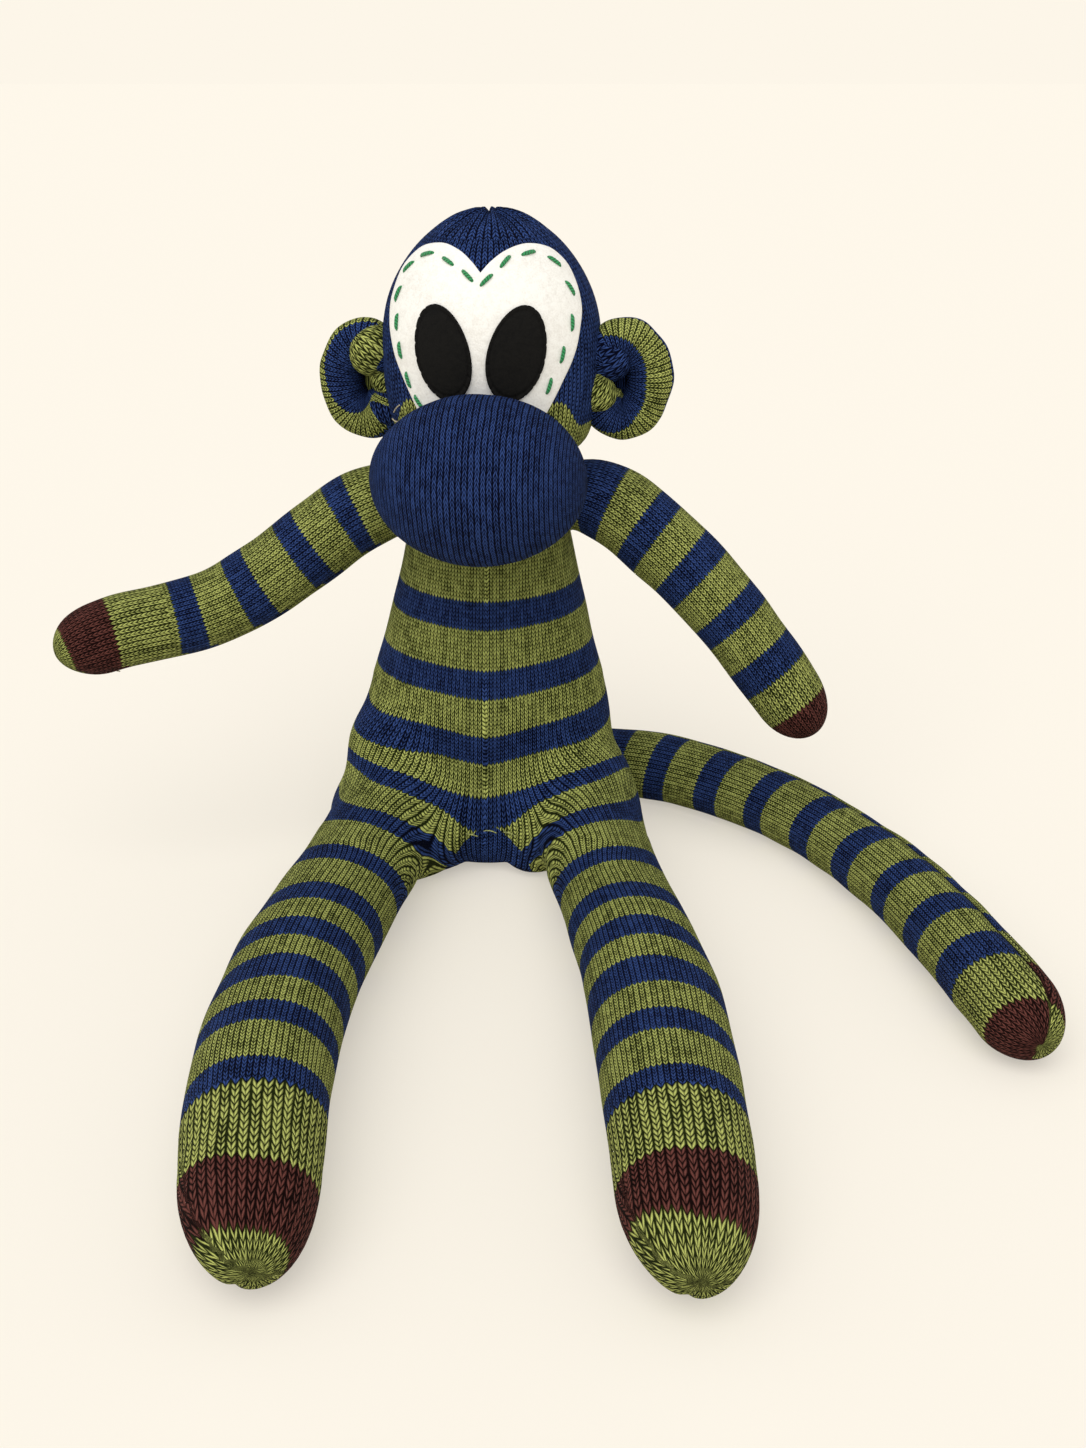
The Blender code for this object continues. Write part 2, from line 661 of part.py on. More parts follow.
def make_neck_thread():
    """Closed round of thread in the crease under the head."""
    pivot = Vector((0.0, 0.0, NECK_HEIGHT))
    reach = NECK_DOME_RADIUS + GAP + THREAD_RADIUS
    latitude = math.radians(NECK_THREAD_LATITUDE)
    centre = pivot + ACROSS * reach * math.cos(latitude) + UP * reach * math.sin(latitude)
    bm = bmesh.new()
    frame = Matrix.Translation(centre) @ Matrix.Rotation(math.pi / 2, 4, "X")
    round_section = bmesh.ops.create_circle(bm, segments=THREAD_SIDES, radius=THREAD_RADIUS,
                                            matrix=frame)
    edges = list({edge for vert in round_section["verts"] for edge in vert.link_edges})
    bmesh.ops.spin(bm, geom=edges, cent=pivot, axis=UP, angle=2 * math.pi,
                   steps=NECK_THREAD_STEPS, use_merge=True)
    return finish(bm, "neck_gather_thread", "natural_thread", pivot)


def make_arm(side, name, length, rows, swing):
    """An arm, and the room that it needs in the body's side."""
    pivot = Vector((side * SHOULDER_SPREAD, -SHOULDER_FORWARD, SHOULDER_HEIGHT))
    form = limb_form(pivot, side, length, rows, ARM_RADIUS, ARM_GIRTH_SHARES,
                     ARM_END, ARM_STEPS, ARM_SIDES, False)
    stuffed(name, form, "navy_knit", pivot)
    ball = ARM_RADIUS * ARM_GIRTH_SHARES[0][1]
    room = (swing[0] - ARM_BEND_ROOM, swing[1])
    return swing_room(name + "_room", pivot, -BACKWARD * side, heading(side, *rows[0][1:]),
                      room, ball, ball * 2 + OVERRUN)


def make_leg(side, name, rows, girth):
    """A leg, and the room that it needs in the body's front and seat."""
    ball = LEG_RADIUS * girth[0][1]
    pivot = Vector((side * HIP_SPREAD, -HIP_FORWARD, floor_height(ball, LEG_SIDES)))
    form = limb_form(pivot, side, LEG_LENGTH, rows, LEG_RADIUS, girth,
                     LEG_END, LEG_STEPS, LEG_SIDES, True)
    stuffed(name, form, "green_knit", pivot)
    return swing_room(name + "_room", pivot, -ACROSS, heading(side, *rows[0][1:]),
                      LEG_SWING, ball, ball + OVERRUN)


def make_tail():
    """The tail, and the hollow for its ball in the body's back."""
    ball = TAIL_RADIUS * TAIL_GIRTH_SHARES[0][1]
    pivot = Vector((TAIL_SIDE, TAIL_BACK, floor_height(ball, TAIL_SIDES)))
    form = limb_form(pivot, LEFT, TAIL_LENGTH, TAIL_SHARES, TAIL_RADIUS, TAIL_GIRTH_SHARES,
                     TAIL_END, TAIL_STEPS, TAIL_SIDES, True)
    stuffed("tail", form, "navy_knit", pivot)
    swing = (TAIL_SWING[0] - TAIL_BEND_ROOM, TAIL_SWING[1])
    return swing_room("tail_room", pivot, UP, heading(LEFT, *TAIL_SHARES[0][1:]),
                      swing, ball, ball * 2 + OVERRUN)


def make_head():
    """The head with its muzzle, face and ears."""
    pivot = Vector((0.0, 0.0, NECK_HEIGHT))
    skin, core = stuffed("head", head_form(), "navy_knit", pivot)
    muzzle = stuffed("muzzle", muzzle_form(), "navy_knit", pivot)
    neck_room = ball_hollow("neck_room", pivot, NECK_DOME_RADIUS)
    cut([skin, core, *muzzle], neck_room)
    head_room = hide(solid("head_room", head_form(), None, Vector(), -GAP))
    cut(muzzle, head_room)
    for side, name in ((LEFT, "ear_left"), (RIGHT, "ear_right")):
        form, ends = ear_form(side)
        stuffed(name, form, "green_knit", (ends[0] + ends[1]) / 2)
        for number, end in enumerate(ends):
            room = ball_hollow("%s_room_%d" % (name, number + 1), end, EAR_TUBE_RADIUS)
            cut([skin, core], room)


def main():
    """Build the whole doll."""
    clear_scene()
    body = stuffed("torso", body_form(), "green_knit", Vector())
    rooms = [make_arm(LEFT, "arm_left", LEFT_ARM_LENGTH, LEFT_ARM_SHARES, LEFT_ARM_SWING),
             make_arm(RIGHT, "arm_right", RIGHT_ARM_LENGTH, RIGHT_ARM_SHARES, RIGHT_ARM_SWING),
             make_leg(LEFT, "leg_left", LEFT_LEG_SHARES, LEFT_LEG_GIRTH_SHARES),
             make_leg(RIGHT, "leg_right", RIGHT_LEG_SHARES, RIGHT_LEG_GIRTH_SHARES),
             make_tail()]
    for room in rooms:
        cut(body, room)
    make_neck_thread()
    make_head()
    make_face()


main()
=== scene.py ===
"""A stuffed sock monkey doll that sits with its legs forward, dressed over its packed model.

Each knitted piece carries its own wale and course numbers in a UV map, so the knit follows the
cloth and its stripes end on whole stitches. The body and the legs are one cloth, parted where the
legs bend. Metres, +Z up, the face looks along -Y. Left and right are the doll's own.
"""
import json
import math

import bmesh
import bpy
import numpy as np
from bpy.props import FloatProperty, FloatVectorProperty, IntProperty, PointerProperty
from bpy.types import Operator, Panel, PropertyGroup
from mathutils import Matrix, Vector, noise


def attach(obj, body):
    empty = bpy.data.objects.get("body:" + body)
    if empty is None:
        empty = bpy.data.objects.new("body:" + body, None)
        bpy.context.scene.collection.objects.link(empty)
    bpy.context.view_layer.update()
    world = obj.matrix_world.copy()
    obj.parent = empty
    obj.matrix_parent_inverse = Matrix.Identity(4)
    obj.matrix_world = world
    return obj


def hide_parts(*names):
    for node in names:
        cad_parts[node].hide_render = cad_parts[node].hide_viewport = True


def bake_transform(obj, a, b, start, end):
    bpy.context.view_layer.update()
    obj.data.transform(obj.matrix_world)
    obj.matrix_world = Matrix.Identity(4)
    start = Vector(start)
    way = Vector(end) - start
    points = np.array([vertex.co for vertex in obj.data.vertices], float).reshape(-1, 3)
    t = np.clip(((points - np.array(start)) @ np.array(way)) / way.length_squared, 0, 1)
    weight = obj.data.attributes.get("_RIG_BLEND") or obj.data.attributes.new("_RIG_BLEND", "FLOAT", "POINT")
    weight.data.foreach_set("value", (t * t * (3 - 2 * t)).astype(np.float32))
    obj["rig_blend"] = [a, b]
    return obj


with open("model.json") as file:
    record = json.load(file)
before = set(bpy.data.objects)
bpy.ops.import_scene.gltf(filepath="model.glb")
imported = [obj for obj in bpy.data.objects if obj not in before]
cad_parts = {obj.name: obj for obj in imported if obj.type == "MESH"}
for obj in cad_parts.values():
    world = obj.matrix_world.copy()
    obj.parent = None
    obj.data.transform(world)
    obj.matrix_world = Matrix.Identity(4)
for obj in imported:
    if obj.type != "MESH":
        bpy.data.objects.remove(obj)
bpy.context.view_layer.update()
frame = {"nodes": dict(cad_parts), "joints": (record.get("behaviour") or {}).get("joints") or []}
PIVOTS = {joint["name"]: Vector(joint["pos_m"]) for joint in frame["joints"]}

bl_info = {
    "name": "Sock monkey doll",
    "version": (1, 0, 0),
    "blender": (4, 5, 0),
    "location": "3D View > Sidebar > Doll",
    "description": "Knitted, felted and sewn pieces of a stuffed sock monkey doll",
    "category": "Object",
}

LEFT = 1.0
RIGHT = -1.0
UP = Vector((0.0, 0.0, 1.0))
BACKWARD = Vector((0.0, 1.0, 0.0))
NECK = PIVOTS["neck_nod"]

# Body: rows of height share, half width share and half depth share
BODY_SHARES = (
    (0.0, 0.64, 0.64), (0.022, 0.79, 0.79), (0.058, 0.91, 0.89), (0.125, 0.99, 0.97),
    (0.26, 1.0, 1.0), (0.385, 0.975, 1.0), (0.51, 0.89, 0.97), (0.65, 0.785, 0.91),
    (0.81, 0.675, 0.84), (0.91, 0.62, 0.805), (1.0, 0.56, 0.775))

# Limbs: rows of length share, degrees round from the front and degrees up; and of girth
RIGHT_ARM_SHARES = (
    (0.0, 80, 8), (0.16, 77, -27.5), (0.42, 77, -32.5), (0.75, 67, -5), (1.0, 62, -20))
LEFT_ARM_SHARES = ((0.0, 76, 22), (0.16, 69, -26), (0.36, 71, -39), (1.0, 64, -54))
ARM_GIRTH_SHARES = ((0.0, 0.84), (0.1, 1.0), (0.24, 1.03), (0.5, 0.99), (1.0, 0.9))
RIGHT_LEG_SHARES = ((0.0, 10.5, 0), (0.3, 11.4, 0), (0.65, -0.1, 0), (1.0, -13, 0))
LEFT_LEG_SHARES = ((0.0, 4.0, 0), (0.3, 9.9, 0), (0.67, 1.9, 0), (1.0, 2, 0))
RIGHT_LEG_GIRTH_SHARES = ((0.0, 1.18), (0.22, 1.09), (0.5, 1.12), (0.8, 1.06), (1.0, 0.89))
LEFT_LEG_GIRTH_SHARES = ((0.0, 1.15), (0.22, 1.04), (0.56, 1.11), (0.8, 1.05), (1.0, 0.9))
TAIL_SHARES = ((0.0, 110, 0), (0.12, 81.5, 0), (0.35, 47, 0), (0.65, 19.5, 0), (1.0, 9, 0))
TAIL_GIRTH_SHARES = ((0.0, 0.95), (0.12, 1.03), (0.5, 1.0), (0.85, 1.06), (1.0, 1.02))

# Courses of a leg, rows by distance along it: course length at its top, how far courses lean
# forward below the top on the inner and the outer side, how far they slant outward, and how much
# further along the right leg's stripes lie than the mean of both
LEG_COURSES = (
    (-0.07, 0.0482, 1.2, 1.3, 0.45, 0.0), (0.0, 0.1032, 1.2, 1.25, 0.45, 0.0005),
    (0.0055, 0.1068, 1.18, 1.2, 0.44, 0.001), (0.0205, 0.1165, 1.1, 1.1, 0.4, 0.0015),
    (0.0413, 0.1335, 0.83, 0.88, 0.2, 0.0022), (0.0533, 0.1445, 0.65, 0.78, 0.1, 0.002),
    (0.0725, 0.163, 0.38, 0.65, 0.0, 0.0015), (0.104, 0.1945, 0.14, 0.28, -0.18, 0.0022),
    (0.132, 0.2225, 0.05, 0.1, -0.26, 0.0017), (0.159, 0.2495, 0.02, 0.02, -0.18, 0.0),
    (0.185, 0.2755, 0.1, 0.0, -0.08, -0.0012), (0.214, 0.3045, 0.3, 0.05, 0.0, -0.001),
    (0.254, 0.3445, 0.18, 0.32, 0.0, 0.0022), (0.31, 0.4005, 0.0, 0.2, 0.0, 0.001))
# Where the body's courses dip over its front middle: rows of height and dip
BODY_DIPS = (
    (0.0, 0.0118), (0.02, 0.0124), (0.028, 0.01), (0.038, 0.0068), (0.055, 0.005),
    (0.066, 0.0042), (0.082, 0.0022), (0.095, 0.0016), (0.12, 0.0005), (0.154, 0.0))
# How far round that dip reaches in radians, and how the body's courses drop towards its back
DIP_REACH = 0.48
BACK_DROP = 0.065
# Where the leg's knit takes over from the body's, each from nothing to all: by how far its
# courses pass the body's, by height, by distance aside of the middle, by distance along the leg.
# First for the courses and then for the wales
COURSE_TAKEOVER = ((-0.007, 0.007), (0.062, 0.044), (0.004, 0.024), (0.03, 0.05))
WALE_TAKEOVER = ((-0.02, 0.02), (0.07, 0.036), (0.02, 0.062), (0.036, 0.088))

# Where the stuffing swells between body and legs: middles and half sizes of the swellings
FULLNESS = (
    ((-0.0215, -0.031, 0.021), (0.0232, 0.026, 0.022)),
    ((0.0215, -0.031, 0.021), (0.0232, 0.026, 0.022)),
    ((-0.001, -0.021, 0.0115), (0.038, 0.027, 0.014)),
    ((-0.0385, -0.029, 0.021), (0.0325, 0.042, 0.026)),
    ((0.034, -0.02, 0.03), (0.029, 0.032, 0.027)),
    ((-0.036, -0.014, 0.043), (0.0285, 0.03, 0.031)),
    ((-0.026, -0.038, 0.01), (0.018, 0.015, 0.011)),
    ((0.019, -0.039, 0.01), (0.015, 0.015, 0.011)))
# Middle and half size of the crowded knit under the seat
UNDER_SEAT = ((-0.001, -0.04, 0.0), (0.02, 0.04, 0.0228))
# Share round the leg at which the seam across its toe lies, the seam's half width and depth, and
# how the toe's courses slant
TOE_SEAMS = {LEFT: 0.3, RIGHT: 0.17}
SEAM_HALF_WIDTH = 0.0016
SEAM_DEPTH = 0.0011
TOE_SLANT = 0.42
# Where the left leg's cloth starts to bend, and the way that it bends to
LEG_PART = Vector((0.0425, -0.031, 0.023))
LEG_PART_NORMAL = Vector((0.5, -0.75, -0.45)).normalized()
# Distance over which the cloth of a leg, and of an arm or the tail, bends
LEG_BEND = 0.036
LIMB_BEND = 0.03
# Height and size of the lumps in the body's stuffing
BODY_LUMP = 0.0007
BODY_LUMP_SIZE = 0.028

# Head: rows of drop share and half width share below its widest ring
CHIN_SHARES = (
    (0.0, 1.0), (0.35, 0.985), (0.65, 0.925), (0.84, 0.83), (0.93, 0.71), (1.0, 0.56))
# Face patch: half outline, rows of half width share and of rise share over the widest ring
PATCH_SHARES = (
    (0.0, 0.615), (0.08, 0.685), (0.2, 0.755), (0.37, 0.79), (0.57, 0.74), (0.73, 0.59),
    (0.82, 0.38), (0.82, 0.2), (0.775, 0.02), (0.7, -0.13), (0.57, -0.35), (0.42, -0.56))
# Running stitches: rows of half width share, rise share, slant in degrees
STITCH_SHARES = (
    (-0.105, 0.59, -43), (-0.28, 0.675, -28), (-0.475, 0.705, 19), (-0.645, 0.61, 53),
    (-0.73, 0.43, 80), (-0.73, 0.245, 99), (-0.7, 0.055, 105), (-0.63, -0.15, 112),
    (-0.535, -0.3, 129), (0.055, 0.565, 45), (0.2, 0.68, 48), (0.38, 0.725, 11),
    (0.585, 0.66, -47), (0.72, 0.48, -68), (0.745, 0.255, 79), (0.675, 0.045, 74),
    (0.57, -0.17, 71))


def bands(first, *starts, foot=()):
    """Rows of a stripe's start and its colour: green and navy by turns, then the foot's own."""
    colours = ("green", "navy") if first == "green" else ("navy", "green")
    return tuple((start, colours[number % 2]) for number, start in enumerate(starts)) + foot


# Stripes: where each colour starts along its piece, in metres from the neck or from the joint
BODY_STRIPES = bands("green", 0, 0.0302, 0.041, 0.0568, 0.068, 0.0835, 0.0948, 0.1068, 0.1168,
    0.1325, 0.144, 0.1625, 0.174, 0.1935, 0.206, 0.2213, 0.2335, 0.247, 0.2605, 0.2748, 0.2866,
    0.3035, 0.3135, foot=((0.3433, "brown"), (0.363, "green")))
RIGHT_ARM_STRIPES = bands("green", 0, 0.0223, 0.031, 0.0445, 0.0552, 0.0718, 0.0835, 0.1013,
    0.1135, foot=((0.138, "brown"), (0.158, "green")))
LEFT_ARM_STRIPES = bands("green", 0, 0.0085, 0.0202, 0.0335, 0.0437, 0.0568, 0.0675, 0.0823,
    0.0925, 0.107, 0.1172, foot=((0.1348, "brown"),))
TAIL_STRIPES = bands("green", 0, 0.008, 0.019, 0.0375, 0.049, 0.0635, 0.0752, 0.093, 0.1055,
    0.123, 0.135, 0.1535, 0.1665, 0.1852, 0.1978, 0.217, 0.2292, 0.247, 0.259, 0.2758, 0.288,
    foot=((0.3125, "brown"), (0.3325, "green")))
HEAD_STRIPES = ((0.0, "green"), (0.025, "navy"))
MUZZLE_STRIPES = ((0.0, "navy"),)
# Shares round the ear's tube; a stripe shifts by the given shares towards either end
LEFT_EAR_STRIPES = bands("green", 0, 0.13, 0.45, 0.665, 0.83)
RIGHT_EAR_STRIPES = bands("navy", 0, 0.175, 0.385, 0.72, 0.9)
LEFT_EAR_SHIFTS = (
    (-180, -0.26), (-120, -0.2), (-90, -0.1), (-60, -0.035), (0, 0.0), (60, -0.03), (90, -0.07),
    (120, -0.15), (180, -0.24))
RIGHT_EAR_SHIFTS = ((-180, -0.3), (-90, -0.19), (-45, -0.085), (0, 0.0), (90, 0.085), (180, 0.16))
# Rolled ends inside the ears: middle aside, ahead and up, half sizes, lean in degrees, and the
# shares round the tube from pole to pole
LEFT_EAR_LOBES = (
    ((-0.0112, 0.008, -0.004), (0.0098, 0.0078, 0.0082), 38, (0.46, 0.655)),
    ((-0.0065, 0.005, 0.01), (0.011, 0.0082, 0.0102), 60, (0.2, 0.43)))
RIGHT_EAR_LOBES = (
    ((-0.0035, 0.0058, 0.0125), (0.0108, 0.0088, 0.0098), 52, (0.43, 0.19)),
    ((-0.0088, 0.004, -0.0005), (0.0082, 0.007, 0.0064), -38, (0.2, 0.37)),
    ((-0.008, 0.0055, -0.011), (0.0092, 0.0075, 0.0085), 15, (0.4, 0.7)))

# Gauges: rows of the distance up to which it holds, wales round and course height
BODY_GAUGES = ((0.3135, 75, 0.0016), (0.41, 42, 0.0026))
ARM_GAUGES = ((0.116, 54, 0.0016), (0.19, 44, 0.002))
TAIL_GAUGES = ((0.288, 52, 0.0016), (0.37, 40, 0.0022))
HEAD_GAUGES = ((0.088, 118, 0.0018), (0.104, 84, 0.0018), (0.14, 48, 0.002))
MUZZLE_GAUGES = ((0.2, 58, 0.0019),)
EAR_GAUGES = ((1.0, 48, 0.027),)

# Loose thread: its body, its colour, and its way in metres
LOOSE_THREADS = (
    ("head", "pale",
     (-0.0366, -0.022, 0.1955), (-0.0352, -0.027, 0.1985), (-0.0335, -0.03, 0.2)),
    ("head", "pale",
     (-0.0372, -0.023, 0.193), (-0.035, -0.029, 0.1925), (-0.0322, -0.0315, 0.194)),
    ("torso", "green",
     (-0.0105, -0.051, 0.0215), (-0.008, -0.056, 0.0245), (-0.005, -0.053, 0.0215)),
    ("torso", "green",
     (-0.0025, -0.05, 0.0225), (0.0005, -0.056, 0.0265), (0.003, -0.052, 0.0225)),
    ("torso", "green",
     (0.006, -0.051, 0.0225), (0.0085, -0.0565, 0.0255), (0.0115, -0.052, 0.021)),
    ("arm_right", "pale",
     (-0.156, -0.04, 0.0945), (-0.154, -0.042, 0.0925), (-0.1515, -0.043, 0.093)))
LOOSE_THREAD_RADIUS = 0.00026

# Fineness of the meshes: steps of a middle line, sides and spacing of rings, smoothing passes
LINE_STEPS = 160
LIMB_SIDES = 72
LIMB_RING = 0.0018
BODY_RINGS = 60
BODY_SIDES = 96
GROIN_PASSES = 50
GIRTH_SAMPLES = 80
HEAD_SIDES = 120
EAR_STEPS = 120
EAR_SIDES = 60
STITCH_STEPS = 14
STITCH_SIDES = 14
THREAD_STEPS = 16
THREAD_SIDES = 8
# How far the ear's strip goes round to either side, in degrees
EAR_TURN = 165
# Level of the patch over the head
PATCH_LEVEL = 0.0003


# ---------------------------------------------------------------- sizes and colours

def length(text, value):
    """A size that a user may set."""
    return FloatProperty(description=text, default=value, min=0.0, unit="LENGTH", precision=4)


def tint(text, value):
    """A colour that a user may set."""
    return FloatVectorProperty(description=text, default=value, size=3, min=0.0, max=1.0,
                               subtype="COLOR")


class SockCloth(PropertyGroup):
    """Colours and relief of the knit, the felt and the threads."""
    green: tint("Lit strands of the green stripes", (0.5, 0.54, 0.15))
    green_gap: tint("Shade between green strands", (0.013, 0.018, 0.0025))
    navy: tint("Lit strands of the navy stripes", (0.036, 0.074, 0.24))
    navy_gap: tint("Shade between navy strands", (0.0008, 0.0014, 0.0085))
    brown: tint("Lit strands of the brown bands", (0.15, 0.05, 0.04))
    brown_gap: tint("Shade between brown strands", (0.007, 0.0018, 0.0015))
    white_felt: tint("Face patch", (0.87, 0.852, 0.8))
    black_felt: tint("Eyes", (0.0075, 0.007, 0.0062))
    stitch_green: tint("Running stitches of the patch", (0.018, 0.29, 0.085))
    plain_thread: tint("Loose ends of sewing thread", (0.64, 0.54, 0.36))
    relief: length("Height of a fine strand over its gaps", 0.0006)
    felt_thickness: length("Thickness of the felt pieces", 0.0012)


class BodySizes(PropertyGroup):
    """Sizes of the body."""
    half_width: length("Half of the seat's width", 0.056)
    half_depth: length("Half of the seat's depth", 0.039)
    lean: length("How far the seat lies ahead of the neck", 0.006)
    sway: length("How far the seat lies aside of the neck", 0.0026)
    dome: length("Radius of the dome that the head turns on", 0.0305)
    heel_width: length("Half width of the sock's heel under the seat", 0.046)
    heel_depth: length("Half depth of the sock's heel under the seat", 0.056)
    heel_height: length("Height of the sock's heel over the floor", 0.03)
    voxel: length("Size of the mesh that joins the legs to the body", 0.0017)


class LimbSizes(PropertyGroup):
    """Sizes of the arms, the legs and the tail."""
    arm_radius: length("Radius of an arm at its thickest", 0.0162)
    arm_end: length("Length of an arm's rounded end", 0.021)
    right_arm: length("Length of the right arm", 0.164)
    left_arm: length("Length of the left arm", 0.1508)
    leg_radius: length("Radius that the legs' girths scale", 0.021)
    leg_end: length("Length of a leg's rounded end", 0.04)
    right_leg: length("Length of the right leg", 0.279)
    left_leg: length("Length of the left leg", 0.2812)
    tail_radius: length("Radius of the tail at its thickest", 0.0152)
    tail_end: length("Length of the tail's rounded end", 0.022)
    tail: length("Length of the tail", 0.3315)
    floor_flat: length("How far a lying limb is flattened", 0.0005)


class HeadSizes(PropertyGroup):
    """Sizes of the head, the muzzle, the ears and the felt."""
    half_width: length("Half of the head's width", 0.0444)
    depth_share: FloatProperty(description="The head's depth to its width",
                               default=0.955, min=0.5, max=1.5)
    rise: length("Height of the widest ring over the neck", 0.064)
    crown: length("Height of the crown over the widest ring", 0.0525)
    chin: length("Drop of the neck's mouth below the widest ring", 0.0462)
    shift: length("How far the head lies aside of the neck", 0.0021)
    turn: FloatProperty(description="How far the head is turned",
                        default=math.radians(5.0), subtype="ANGLE")
    muzzle_half_width: length("Half of the muzzle's width", 0.042)
    muzzle_half_height: length("Half of the muzzle's height", 0.0324)
    muzzle_half_depth: length("Half of the muzzle's depth", 0.034)
    muzzle_ahead: length("Distance of its middle from the head", 0.0136)
    muzzle_drop: length("Drop of its middle below the widest ring", 0.0414)
    ear_tube: length("Radius of the rolled ear", 0.0088)
    ear_half_reach: length("Half width of the ear's middle line", 0.01)
    ear_half_height: length("Half height of the ear's middle line", 0.015)
    ear_clear: length("Distance of the ear's middle from the head", 0.0101)
    ear_back: length("How far the ears lie behind the neck", 0.006)
    ear_drop: length("Drop of the ear's middle below the widest ring", 0.014)
    eye_half_width: length("Half of an eye's width", 0.0104)
    eye_half_height: length("Half of an eye's height", 0.0177)
    eye_spread: length("Distance of an eye from the middle", 0.0135)
    eye_rise: length("Height of the eyes over the widest ring", 0.0035)
    eye_lean: FloatProperty(description="How far the eyes lean in at their foot",
                            default=math.radians(12.5), subtype="ANGLE")
    stitch_length: length("Length of a running stitch", 0.0072)
    thread_radius: length("Radius of the embroidery thread", 0.00066)


class StudioStage(PropertyGroup):
    """Floor, lights and camera."""
    floor: tint("Colour of the floor", (0.9, 0.85, 0.758))
    backdrop: tint("Colour behind the floor", (0.982, 0.922, 0.815))
    lift: FloatProperty(description="Share of the floor seen unshaded",
                        default=0.45, min=0.0, max=1.0)
    sun: FloatProperty(description="Strength of the soft lamp overhead",
                       default=2.0, min=0.0)
    sun_spread: FloatProperty(description="Angle that the soft lamp fills",
                              default=math.radians(70.0), subtype="ANGLE")
    fill: FloatProperty(description="Strength of the light from all around",
                        default=0.64, min=0.0)
    camera: FloatVectorProperty(description="Place of the camera", size=3,
                                default=(0.0227, -0.637, 0.33), subtype="TRANSLATION")
    pitch: FloatProperty(description="How far the camera looks down",
                         default=math.radians(23.7), subtype="ANGLE")
    lens: FloatProperty(description="Focal length in millimetres", default=38.585)


# ---------------------------------------------------------------- forms

def eased(rows, share):
    """Values of a table whose rows start with a share, eased through its rows."""
    table = np.array(rows, float)
    shares, values = table[:, 0], table[:, 1:]
    slopes = np.gradient(values, shares, axis=0)
    row = int(np.clip(np.searchsorted(shares, share) - 1, 0, len(shares) - 2))
    span = shares[row + 1] - shares[row]
    t = (share - shares[row]) / span
    start = (1 + 2 * t) * (1 - t) ** 2 * values[row] + t * (1 - t) ** 2 * span * slopes[row]
    end = t * t * (3 - 2 * t) * values[row + 1] + t * t * (t - 1) * span * slopes[row + 1]
    return start + end


def smooth(low, high, value):
    """0 below low, 1 above high, eased between."""
    t = np.clip((value - low) / (high - low), 0, 1)
    return t * t * (3 - 2 * t)


def heading(side, around, rise):
    """Direction that is turned round from the front to the given side, and raised."""
    flat = math.cos(math.radians(rise))
    return Vector((side * math.sin(math.radians(around)) * flat,
                   -math.cos(math.radians(around)) * flat, math.sin(math.radians(rise))))


def station(centre, direction, up):
    """Frame of a ring: its axis runs along direction, and its first axis lies level."""
    level = direction.cross(up).normalized()
    placed = Matrix((level, direction.cross(level), direction)).transposed().to_4x4()
    placed.translation = centre
    return placed


class Limb:
    """The middle line and the radius of a stuffed tube, from its joint to its tip."""

    def __init__(self, start, side, length, headings, radius, girths, end, flat=None):
        self.length, self.radius, self.girths, self.end = length, radius, girths, end
        shares = np.linspace(0, 1, LINE_STEPS + 1)
        self.directions = [heading(side, *eased(headings, share)) for share in shares]
        self.points = [start.copy()]
        for before, after in zip(self.directions, self.directions[1:]):
            self.points.append(self.points[-1] + (before + after) * (length / LINE_STEPS / 2))
        if flat is not None:
            for share, point in zip(shares, self.points):
                point.z = radius * float(eased(girths, share)[0]) - flat
        self.ball = radius * girths[0][1]

    def at(self, distance):
        """Place and direction at a distance along the middle line."""
        if distance <= 0:
            return self.points[0] + self.directions[0] * distance, self.directions[0]
        place = min(distance / self.length, 1.0) * LINE_STEPS
        step = min(int(place), LINE_STEPS - 1)
        part = place - step
        direction = self.directions[step].lerp(self.directions[step + 1], part).normalized()
        return self.points[step].lerp(self.points[step + 1], part), direction

    def half(self, distance):
        """Radius at a distance: a ball before the joint, the tube, and a rounded end."""
        if distance < 0:
            return math.sqrt(max(self.ball ** 2 - distance ** 2, 0.0))
        body = self.length - self.end
        girth = self.radius * float(eased(self.girths, min(distance, body) / self.length)[0])
        over = max(distance - body, 0.0) / self.end
        return girth * math.sqrt(max(1 - over ** 2.0, 0.0))

    def arc(self, distance):
        """Length over the cloth up to a distance, which the rounded end makes longer."""
        if not hasattr(self, "arcs"):
            body = self.length - self.end
            turns = np.linspace(0, math.pi / 2, 80)
            steps = body + self.end * np.sin(turns)
            halves = np.array([self.half(float(step)) for step in steps])
            grown = np.hypot(np.diff(steps), np.diff(halves))
            self.steps = np.concatenate([[-1.0], steps])
            self.arcs = np.concatenate([[-1.0], body + np.concatenate([[0.0], np.cumsum(grown)])])
        return np.interp(distance, self.steps, self.arcs)

    def girth(self, distance):
        """Radius at a distance without the rounded end."""
        body = self.length - self.end
        return self.radius * float(eased(self.girths, max(min(distance, body), 0.0)
                                         / self.length)[0])

    def distances(self, back):
        """Distances of the rings, closer together over the rounded end."""
        body = self.length - self.end
        count = int((body + back) / LIMB_RING)
        plain = [-back + (body + back) * step / count for step in range(count)]
        turns = 16
        round_end = [body + self.end * math.sin(math.pi / 2 * step / turns)
                     for step in range(turns)]
        return plain + round_end + [self.length - self.end * 0.0016]


def toe_turn(turn, share, seam, gather=0.45):
    """Turn round a rounded end, drawn straight towards a sewn seam across the tip."""
    angle = (turn - seam) * 2 * math.pi
    straight = np.arcsin(np.clip(np.sin(angle) * share, -1, 1))
    straight = np.where(np.cos(angle) >= 0, straight, math.pi - straight)
    change = (straight - angle + math.pi) % (2 * math.pi) - math.pi
    return turn + gather * change / (2 * math.pi)


